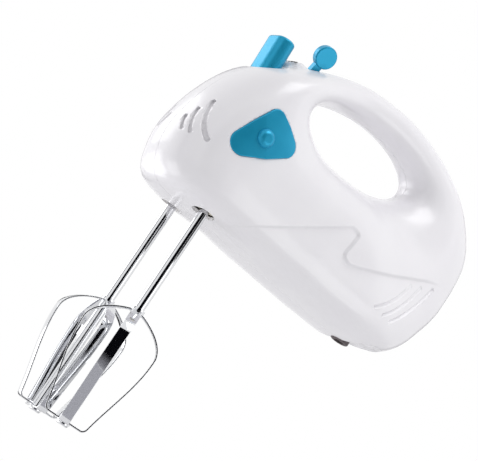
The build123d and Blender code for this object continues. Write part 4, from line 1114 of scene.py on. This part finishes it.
# ---------------------------------------------------------------- beaters
@dataclass
class Beaters:
    """Flat chromed strips bent into loops, two on each beater, with the eyes that hold them on the shaft."""

    shoulder: float = 65.4
    height: float = 73.0
    radius: float = 24.3
    foot_radius: float = 14.2
    cheek: float = 19.0
    droop: float = 0.35
    bend: float = 3.0
    collar: float = 4.0
    width: float = 6.3
    thickness: float = 0.9
    edge: float = 0.22
    gap: float = 0.05
    proud: float = 0.02
    steps: int = 28
    bend_points: int = 5
    edge_steps: int = 3
    eye_sides: int = 48
    turns: tuple[tuple[str, float], ...] = (("left", 60.5), ("right", 78.5))

    def curve(self, start: Point, end: Point, leave: Point, arrive: Point) -> list[Vector]:
        """Smooth bend between two places in given directions.

        Args:
            start: first place, across and up.
            end: last place.
            leave: direction at the start.
            arrive: direction at the end.

        Returns:
            Points of the bend without the last.
        """
        first, last = Vector(start), Vector(end)
        pull = (last - first).length
        leaving, arriving = Vector(leave).normalized() * pull, Vector(arrive).normalized() * pull
        points = []
        for step in range(self.steps):
            part = step / self.steps
            hold, turn = part * part * (3 - 2 * part), part * (1 - part)
            points.append(first.lerp(last, hold) + leaving * turn * (1 - part) - arriving * turn * part)
        return points

    def path(self, inset: float) -> Mesh:
        """Middle line of one strip as a closed chain of edges, across and up.

        Args:
            inset: distance of the line inside the outermost outline.

        Returns:
            A mesh of edges alone.
        """
        foot_z = -self.shoulder - self.height
        top = (self.collar, -self.shoulder - inset)
        widest = (self.radius - inset, -self.shoulder - self.cheek)
        foot = Vector((self.foot_radius - inset, foot_z + self.bend))
        corner = Vector((self.foot_radius - self.bend, foot_z + inset))
        inwards = (self.foot_radius - self.radius, self.cheek - self.height)
        half = [Vector((0, top[1])), *self.curve(top, widest, (1, -self.droop), (0, -1))]
        half += self.curve(widest, foot, (0, -1), inwards)
        bends = ((foot, foot - Vector(inwards), corner), (corner, foot, Vector((0, corner.y))))
        for knee, before, after in bends:
            back, ahead = ((point - knee).normalized() * self.bend / 3 for point in (before, after))
            for part in (step / (self.bend_points - 1) for step in range(self.bend_points)):
                half.append(knee + back * (1 - part) ** 2 + ahead * part**2)
        half.append(Vector((0, corner.y)))
        line = half + [Vector((-point.x, point.y)) for point in half[-2:0:-1]]
        mesh = bpy.data.meshes.new("path")
        edges = [(here, (here + 1) % len(line)) for here in range(len(line))]
        mesh.from_pydata([(point.x, point.y, 0) for point in line], edges, [])
        return mesh

    def tree(self) -> Tree:
        """Sweep a rounded flat section along the path, add an eye at each end and stand the loop upright."""
        floats = ("Width", "Thickness", "Edge", "Eye Radius", "Eye Thickness")
        tree, given = new_tree("bent_strip", "Path", floats, ("Top", "Drop", "Turn", "Place"))
        size = {"Width": given["Thickness"], "Height": given["Width"]}
        section = add_node(tree, "GeometryNodeCurvePrimitiveQuadrilateral", size)
        rounding = {"Curve": section.outputs[0], "Radius": given["Edge"], "Count": self.edge_steps}
        section = add_node(tree, "GeometryNodeFilletCurve", rounding, mode="POLY")
        path = add_node(tree, "GeometryNodeMeshToCurve", {"Mesh": given["Path"]})
        level = add_node(tree, "GeometryNodeSetCurveNormal", {"Curve": path.outputs[0]}, mode="Z_UP")
        curves = {"Curve": level.outputs[0], "Profile Curve": section.outputs[0]}
        strip = add_node(tree, "GeometryNodeCurveToMesh", curves)
        disc = {"Vertices": self.eye_sides, "Radius": given["Eye Radius"], "Depth": given["Eye Thickness"]}
        eye = add_node(tree, "GeometryNodeMeshCylinder", disc)
        line = {"Count": 2, "Start Location": given["Top"], "Offset": given["Drop"]}
        ends = add_node(tree, "GeometryNodeMeshLine", line)
        turned = {"Rotation": (math.pi / 2, 0, 0)}
        spread = {"Points": ends.outputs[0], "Instance": eye.outputs["Mesh"], **turned}
        eyes = add_node(tree, "GeometryNodeInstanceOnPoints", spread)
        loop = add_node(tree, "GeometryNodeJoinGeometry", {"Geometry": [strip.outputs[0], eyes.outputs[0]]})
        stand = {"Geometry": loop.outputs[0], "Translation": given["Place"], "Rotation": given["Turn"]}
        standing = add_node(tree, "GeometryNodeTransform", stand)
        close_tree(tree, standing.outputs[0], given["Finish"])
        return tree

    def build(self, finish: Material) -> None:
        """Build the four strips.

        Args:
            finish: the chrome plate.
        """
        tree = self.tree()
        layers = (("outer", 0.0, 0.0), ("inner", self.thickness + self.gap, 90.0))
        for side_name, turn in self.turns:
            for layer, inset, quarter in layers:
                middle = inset + self.thickness / 2
                sizes: Inputs = {
                    "Width": self.width,
                    "Thickness": self.thickness,
                    "Edge": self.edge,
                    "Eye Radius": self.collar,
                    "Eye Thickness": self.thickness + 2 * self.proud,
                    "Top": (0.0, -self.shoulder - middle, 0.0),
                    "Drop": (0.0, 2 * middle - self.height, 0.0),
                    "Turn": (math.pi / 2, 0.0, math.radians(turn + quarter)),
                    "Place": (0.0, SIDES[side_name] * AXIS_SPACING / 2, 0.0),
                    "Finish": finish,
                }
                strip = grown(tree, self.path(middle), sizes)
                node = f"{side_name}_beater_{layer}_loop"
                finished(f"{node}_strip", strip, finish, f"{side_name}_beater", (node,))


# ---------------------------------------------------------------- screws
@dataclass
class HousingScrews:
    """Five cross-head screws that hold the halves together."""

    head: Flat = (3.3, 2.2)
    crown: float = 0.6
    shank: Flat = (1.3, 18.0)
    thread: float = 0.45
    turns: float = 12.0
    cross: Spot = (3.6, 0.8, 1.2)
    sides: int = 32
    thread_sides: int = 4
    turn_steps: int = 16

    def tree(self) -> Tree:
        """One screw along Z, set at every place and laid along Y."""
        floats = ("Head Radius", "Head Height", "Crown", "Shank Radius", "Shank Length", "Thread", "Turns")
        tree, given = new_tree("cross_head_screws", "Places", floats, ("Slot", "Slot Across"))
        sizes = {name: given[name] for name in floats}
        for label, first, second, operation in (
            ("Side", "Head Height", "Crown", "SUBTRACT"),
            ("Rim", "Head Radius", "Crown", "SUBTRACT"),
            ("Side Middle", "Side", 0.5, "MULTIPLY"),
            ("Shank Middle", "Shank Length", -0.5, "MULTIPLY"),
            ("Shank Foot", "Shank Length", -1.0, "MULTIPLY"),
        ):
            pair = {0: sizes[first], 1: sizes.get(second, second)}
            sizes[label] = add_node(tree, "ShaderNodeMath", pair, operation=operation).outputs[0]
        side = {"Vertices": self.sides, "Radius": sizes["Head Radius"], "Depth": sizes["Side"]}
        crown = {"Vertices": self.sides, "Radius Top": sizes["Rim"], "Radius Bottom": sizes["Head Radius"]}
        shank = {"Vertices": self.sides, "Radius": sizes["Shank Radius"], "Depth": sizes["Shank Length"]}
        parts = []
        for kind, shape, height in (
            ("Cylinder", side, "Side Middle"),
            ("Cone", {**crown, "Depth": sizes["Crown"]}, "Side"),
            ("Cylinder", shank, "Shank Middle"),
            ("Cube", {"Size": given["Slot"]}, "Head Height"),
            ("Cube", {"Size": given["Slot Across"]}, "Head Height"),
        ):
            solid = add_node(tree, f"GeometryNodeMesh{kind}", shape)
            lift = add_node(tree, "ShaderNodeCombineXYZ", {"Z": sizes[height]})
            moved = {"Geometry": solid.outputs["Mesh"], "Translation": lift.outputs[0]}
            parts.append(add_node(tree, "GeometryNodeTransform", moved).outputs[0])
        boolean = "GeometryNodeMeshBoolean"
        solid = add_node(tree, boolean, {"Mesh 2": parts[:3]}, operation="UNION", solver="EXACT")
        slotted = {"Mesh 1": solid.outputs[0], "Mesh 2": parts[3:]}
        cut = add_node(tree, boolean, slotted, operation="DIFFERENCE", solver="EXACT")
        spiral = {"Rotations": given["Turns"], "Height": given["Shank Length"]}
        radii = {"Start Radius": given["Shank Radius"], "End Radius": given["Shank Radius"]}
        helix = add_node(tree, "GeometryNodeCurveSpiral", {"Resolution": self.turn_steps, **spiral, **radii})
        edge = {"Resolution": self.thread_sides, "Radius": given["Thread"]}
        ridge = add_node(tree, "GeometryNodeCurvePrimitiveCircle", edge)
        swept = {"Curve": helix.outputs[0], "Profile Curve": ridge.outputs[0], "Fill Caps": True}
        thread = add_node(tree, "GeometryNodeCurveToMesh", swept)
        lower = add_node(tree, "ShaderNodeCombineXYZ", {"Z": sizes["Shank Foot"]})
        moved = {"Geometry": thread.outputs[0], "Translation": lower.outputs[0]}
        thread = add_node(tree, "GeometryNodeTransform", moved)
        screw = add_node(tree, "GeometryNodeJoinGeometry", {"Geometry": [cut.outputs[0], thread.outputs[0]]})
        turned = {"Geometry": screw.outputs[0], "Rotation": (-math.pi / 2, 0, 0)}
        laid = add_node(tree, "GeometryNodeTransform", turned)
        spread = {"Points": given["Places"], "Instance": laid.outputs[0]}
        set_out = add_node(tree, "GeometryNodeInstanceOnPoints", spread)
        close_tree(tree, set_out.outputs[0], given["Finish"])
        return tree

    def build(self, finish: Material) -> bpy.types.Object:
        """Build all the screws as one piece.

        Args:
            finish: the zinc plate.

        Returns:
            The screws.
        """
        seeds = mesh_from("places", SCREW_SEATS, [])
        long, wide, deep = self.cross
        sizes: Inputs = {
            "Head Radius": self.head[0],
            "Head Height": self.head[1],
            "Crown": self.crown,
            "Shank Radius": self.shank[0],
            "Shank Length": self.shank[1],
            "Thread": self.thread,
            "Turns": self.turns,
            "Slot": (long, wide, 2 * deep),
            "Slot Across": (wide, long, 2 * deep),
            "Finish": finish,
        }
        screws = grown(self.tree(), seeds, sizes)
        return finished("cross_head_screws", screws, finish, "body", ("housing_screws",))


# ---------------------------------------------------------------- badges
@dataclass
class Badges:
    """Teal plates on both sides that follow the body, with rounded edges and a faint ridge down them."""

    middle: Flat = (-5.1, 50.5)
    ridge_run: Flat = (-0.577, 0.817)
    ridge_height: float = 0.6
    ridge_reach: float = 16.0
    rise: float = 0.6
    sink: float = 1.0
    edge: float = 0.5
    outline_round: int = 240
    spokes: int = 160
    rings: int = 30
    edge_rings: int = 9
    edge_share: float = 0.07
    edge_power: float = 1.5
    degree: int = 5
    fit_run: Flat = (11.5, 15.5)
    fit_grid: tuple[int, int] = (160, 200)
    fit_margin: float = 1.2
    fit_scale: float = 20.0
    crease: float = 60.0
    surface: BodySurface = BodySurface()

    def skin_fit(self) -> np.ndarray:
        """Coefficients of the smooth skin under the plate, as half width over X and Z."""
        rows, columns = self.fit_grid
        skin = self.surface.grid(np.linspace(*self.fit_run, rows), columns, 0.0).reshape(-1, 3)
        rounds = np.array(BADGE_ROUNDS)
        flat, reach = rounds[:, :2], self.fit_margin * rounds[:, 2:]
        low, high = (flat - reach).min(0), (flat + reach).max(0)
        over = skin[:, [0, 2]]
        skin = skin[((over > low) & (over < high)).all(1)]
        table = self.powers(skin[:, [0, 2]])
        fit, *_ = np.linalg.lstsq(table, skin[:, 1], rcond=None)
        LOG.debug("badge skin within %.3f mm", np.abs(table @ fit - skin[:, 1]).max())
        return fit

    def powers(self, flat: np.ndarray) -> np.ndarray:
        """Products of powers of X and Z about the middle, one column to each."""
        x, z = ((flat - np.array(self.middle)) / self.fit_scale).T
        return np.stack([x**a * z**b for a in range(self.degree + 1) for b in range(self.degree + 1 - a)], 1)

    def build(self, name: str, finish: Material) -> bpy.types.Object:
        """Build one plate.

        Args:
            name: left or right.
            finish: the teal plastic.

        Returns:
            The plate.
        """
        side = SIDES[name]
        corners = badge_outline(0.0, self.outline_round)
        loop = np.array(corners + corners[:1])
        walked = np.concatenate([[0], np.cumsum(np.linalg.norm(np.diff(loop, axis=0), axis=1))])
        even = np.linspace(0, walked[-1], self.spokes + 1)[:-1]
        outline = np.stack([np.interp(even, walked, loop[:, axis]) for axis in (0, 1)], 1)
        middle = np.array(self.middle)
        # rings close up towards the edge, which is rounded over
        inner = np.linspace(0, 1, self.rings)[1:] * (1 - self.edge_share)
        closing = (1 - np.linspace(0, 1, self.edge_rings + 1)[1:]) ** self.edge_power
        shares = np.concatenate([inner, 1 - self.edge_share * closing])
        flat = np.concatenate([middle[None]] + [middle + (outline - middle) * share for share in shares])
        fit = self.skin_fit()
        skin = self.powers(flat) @ fit
        distance, _, _ = Relief.nearest(flat, loop)
        lip = np.clip(1 - distance / self.edge, 0, 1)
        off_ridge = np.abs((flat - middle) @ np.array([self.ridge_run[1], -self.ridge_run[0]]))
        crest = self.ridge_height * (1 - off_ridge / self.ridge_reach)
        front = skin + self.rise + crest - self.edge * (1 - np.sqrt(1 - lip**2))
        back = (self.powers(outline) @ fit) - self.sink
        points = [(x, side * y, z) for (x, z), y in zip(flat, front)]
        count = self.spokes
        last = len(points) - count
        points += [(x, side * y, z) for (x, z), y in zip(outline, back)]
        points.append((middle[0], side * (skin[0] - self.sink), middle[1]))
        rim, hub = last + count, len(points) - 1
        faces = []
        for k in range(count):
            after = (k + 1) % count
            faces.append((0, 1 + k, 1 + after))
            for ring in range(len(shares) - 1):
                here, beyond = 1 + ring * count, 1 + (ring + 1) * count
                faces.append((here + k, beyond + k, beyond + after, here + after))
            faces.append((last + k, rim + k, rim + after, last + after))
            faces.append((hub, rim + after, rim + k))
        mesh = mesh_from("badge", points, faces)
        with opened(mesh) as shape:
            bmesh.ops.recalc_face_normals(shape, faces=shape.faces)
        replaced = (f"{name}_badge",)
        return finished(f"{name}_badge_plate", mesh, finish, "body", replaced, self.crease)


# ---------------------------------------------------------------- studio
@dataclass
class Studio:
    """Plain floor, soft lamps, dark cards for the chrome to mirror, and the camera."""

    heading: float = 29.5
    pitch: float = 12.5
    roll: float = 33.8
    distance: float = 0.9
    aim: Spot = (0.0, -0.018, 0.0)
    lens: float = 122.0
    sensor: float = 36.0
    shift: Flat = (0.0753, -0.0345)
    floor_z: float = -0.95
    floor_size: float = 12.0
    floor_colour: str = "#F4F4F5"
    floor_roughness: float = 0.9
    floor_lift: float = 0.22
    fibres_per_metre: float = 900.0
    fibre_depth: float = 0.0001
    ambient: float = 0.68
    centre: Spot = (0.06, 0.0, 0.03)
    lamp_size: float = 0.6
    lamps: tuple[tuple[str, Spot, float], ...] = (
        ("rear_right", (-0.559, 0.859, 0.323), 2.4),
        ("rear_low", (-0.356, 0.923, -0.398), 3.0),
        ("above", (0.025, -0.487, 1.015), 3.5),
        ("nose_low", (-0.76, 0.371, -0.602), 2.4),
        ("side", (0.672, -0.738, 0.569), 0.6),
        ("low_side", (0.621, -0.927, -0.117), 2.2),
    )
    card_centre: Spot = (0.0, 0.0, -0.1)
    cards: tuple[tuple[str, Flat, Flat, float, str, str], ...] = (
        ("dark_card", (250.0, 15.0), (56.0, 54.0), 2.0, "#0E0E12", "#0E0E12"),
        ("grey_card", (250.0, -15.5), (56.0, 7.0), 2.0, "#A8A8AE", "#151518"),
        ("low_card", (250.0, -44.5), (56.0, 51.0), 0.75, "#B4B4BA", "#B4B4BA"),
        ("side_card", (300.0, 18.0), (34.0, 60.0), 2.0, "#3A3A3E", "#3A3A3E"),
        ("thin_card_left", (75.0, 5.0), (7.0, 60.0), 2.0, "#16161A", "#16161A"),
        ("thin_card_right", (30.0, 5.0), (7.0, 60.0), 2.0, "#16161A", "#16161A"),
        ("thin_card_nose", (170.0, 5.0), (9.0, 50.0), 2.0, "#16161A", "#16161A"),
    )

    def camera(self) -> None:
        """Create the camera, off the left side and a little below, and roll it so that the mixer leans."""
        heading, pitch, roll = (math.radians(angle) for angle in (self.heading, self.pitch, self.roll))
        level_run = math.cos(pitch)
        forward = Vector((math.sin(heading) * level_run, math.cos(heading) * level_run, math.sin(pitch)))
        level = Vector((math.cos(heading), -math.sin(heading), 0))
        upright = level.cross(forward)
        right = level * math.cos(roll) + upright * math.sin(roll)
        up = upright * math.cos(roll) - level * math.sin(roll)
        data = bpy.data.cameras.new("camera")
        data.lens = self.lens
        data.sensor_width = self.sensor
        data.shift_x, data.shift_y = self.shift
        camera = placed("camera", data)
        camera.matrix_world = axes(right, up, -forward, Vector(self.aim) - forward * self.distance)
        bpy.context.scene.camera = camera

    def world(self) -> None:
        """Plain ambient light, white to the camera, to gloss and to glass."""
        world = bpy.data.worlds.new("studio")
        bpy.context.scene.world = world
        world.use_nodes = True
        tree = world.node_tree
        tree.nodes.clear()
        rays = add_node(tree, "ShaderNodeLightPath").outputs
        seen = rays["Is Camera Ray"]
        for ray in ("Is Glossy Ray", "Is Transmission Ray"):
            either = {0: seen, 1: rays[ray]}
            seen = add_node(tree, "ShaderNodeMath", either, operation="MAXIMUM").outputs[0]
        ambient, white = (
            add_node(tree, "ShaderNodeBackground", {"Color": WHITE, "Strength": strength}).outputs[0]
            for strength in (self.ambient, 1.0)
        )
        mix = add_node(tree, "ShaderNodeMixShader", {0: seen, 1: ambient, 2: white})
        add_node(tree, "ShaderNodeOutputWorld", {"Surface": mix.outputs[0]})

    def floor(self) -> None:
        """Pale floor below the mixer."""
        half = self.floor_size / 2
        mesh = mesh_from("floor", [(x * half, y * half, self.floor_z) for x, y in SQUARE], [(0, 1, 2, 3)])
        # matt paper: fibres scatter the light, and the lift only shows to the camera
        material, tree = new_material("matt_paper")
        place = add_node(tree, "ShaderNodeTexCoord").outputs["Object"]
        fibre = add_node(tree, "ShaderNodeTexNoise", {"Vector": place, "Scale": self.fibres_per_metre})
        relief = {"Height": fibre.outputs["Fac"], "Distance": self.fibre_depth}
        bump = add_node(tree, "ShaderNodeBump", relief)
        paper = {"Base Color": linear(self.floor_colour), "Roughness": self.floor_roughness}
        paper["Normal"] = bump.outputs["Normal"]
        shader = add_node(tree, "ShaderNodeBsdfPrincipled", paper)
        seen = add_node(tree, "ShaderNodeLightPath").outputs["Is Camera Ray"]
        lift = add_node(tree, "ShaderNodeMath", {0: seen, 1: self.floor_lift}, operation="MULTIPLY")
        glow = add_node(tree, "ShaderNodeEmission", {"Color": WHITE, "Strength": lift.outputs[0]})
        both = add_node(tree, "ShaderNodeAddShader", {0: shader.outputs[0], 1: glow.outputs[0]})
        add_node(tree, "ShaderNodeOutputMaterial", {"Surface": both.outputs[0]})
        mesh.materials.append(material)
        floor = placed("floor", mesh)

    def lamp(self, name: str, place: Point, power: float) -> None:
        """One soft square lamp that faces the mixer.

        Args:
            name: its name.
            place: where it hangs, in metres.
            power: strength in watts.
        """
        data = bpy.data.lights.new(name, "AREA")
        data.shape = "RECTANGLE"
        data.size = data.size_y = self.lamp_size
        data.energy = power
        lamp = placed(name, data)
        lamp.location = place
        lamp.rotation_mode = "QUATERNION"
        lamp.rotation_quaternion = (Vector(self.centre) - Vector(place)).to_track_quat("-Z", "Y")
        lamp.visible_camera = False

    def card(self, name: str, way: Flat, extent: Flat, distance: float, foot: str, head: str) -> None:
        """One dark card that only polished metal and plastic mirror.

        Args:
            name: its name.
            way: heading from the X axis and height above the level, in degrees from the mixer.
            extent: breadth and height in degrees.
            distance: how far away it stands, in metres.
            foot: sRGB hex code at the lower edge.
            head: sRGB hex code at the upper edge.
        """
        turn, lift = (math.radians(angle) for angle in way)
        level_run = math.cos(lift)
        away = Vector((math.cos(turn) * level_run, math.sin(turn) * level_run, math.sin(lift)))
        beside = Vector((-math.sin(turn), math.cos(turn), 0))
        above = away.cross(beside)
        middle = Vector(self.card_centre) + away * distance
        half_wide, half_tall = (distance * math.tan(math.radians(angle / 2)) for angle in extent)
        corners = [middle + beside * x * half_wide + above * z * half_tall for x, z in SQUARE]
        mesh = mesh_from(name, corners, [(0, 1, 2, 3)])
        # dull card: an even tone, darker or lighter towards its head
        material, tree = new_material(f"{name}_paper")
        place = add_node(tree, "ShaderNodeTexCoord").outputs["Object"]
        parts = add_node(tree, "ShaderNodeSeparateXYZ", {0: place})
        rise = add_node(tree, "ShaderNodeMapRange", {0: parts.outputs["Z"], 1: corners[0].z, 2: corners[2].z})
        blend = {0: rise.outputs[0], 6: linear(foot), 7: linear(head)}
        colour = add_node(tree, "ShaderNodeMix", blend, data_type="RGBA")
        shader = add_node(tree, "ShaderNodeBsdfDiffuse", {"Color": colour.outputs[2]})
        add_node(tree, "ShaderNodeOutputMaterial", {"Surface": shader.outputs[0]})
        mesh.materials.append(material)
        card = placed(name, mesh)
        card.visible_camera = card.visible_diffuse = card.visible_shadow = card.visible_transmission = False

    def build(self) -> None:
        """Set up the whole studio."""
        self.camera()
        self.world()
        self.floor()
        for name, place, power in self.lamps:
            self.lamp(name, place, power)
        for card in self.cards:
            self.card(*card)
        bpy.context.scene.view_settings.view_transform = "Standard"


# ---------------------------------------------------------------- dressing the nodes
def dress_nodes(finishes: dict[str, Material]) -> None:
    """Give every CAD node the finish of its own material slot."""
    for name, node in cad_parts.items():
        for slot in node.material_slots:
            slot_name = slot.material.name.split(".")[0]
            slot.material = finishes[slot_name]
        LOG.debug("%s dressed", name)


def main() -> None:
    """Build every piece, then the studio."""
    logging.basicConfig(level=logging.INFO, format="%(name)s %(levelname)s %(message)s")
    finishes = {slot: finish.material() for slot, finish in FINISHES.items()}
    dress_nodes(finishes)
    housing, badges = Housing(), Badges()
    for name in SIDES:
        housing.build(name, finishes["white_abs"])
        badges.build(name, finishes["teal_abs"])
    SpeedScale().build(finishes["black_nylon"], housing.relief.ridge_height)
    Beaters().build(finishes["chrome"])
    HousingScrews().build(finishes["zinc_screw"])
    Studio().build()


if __name__ == "__main__":
    main()
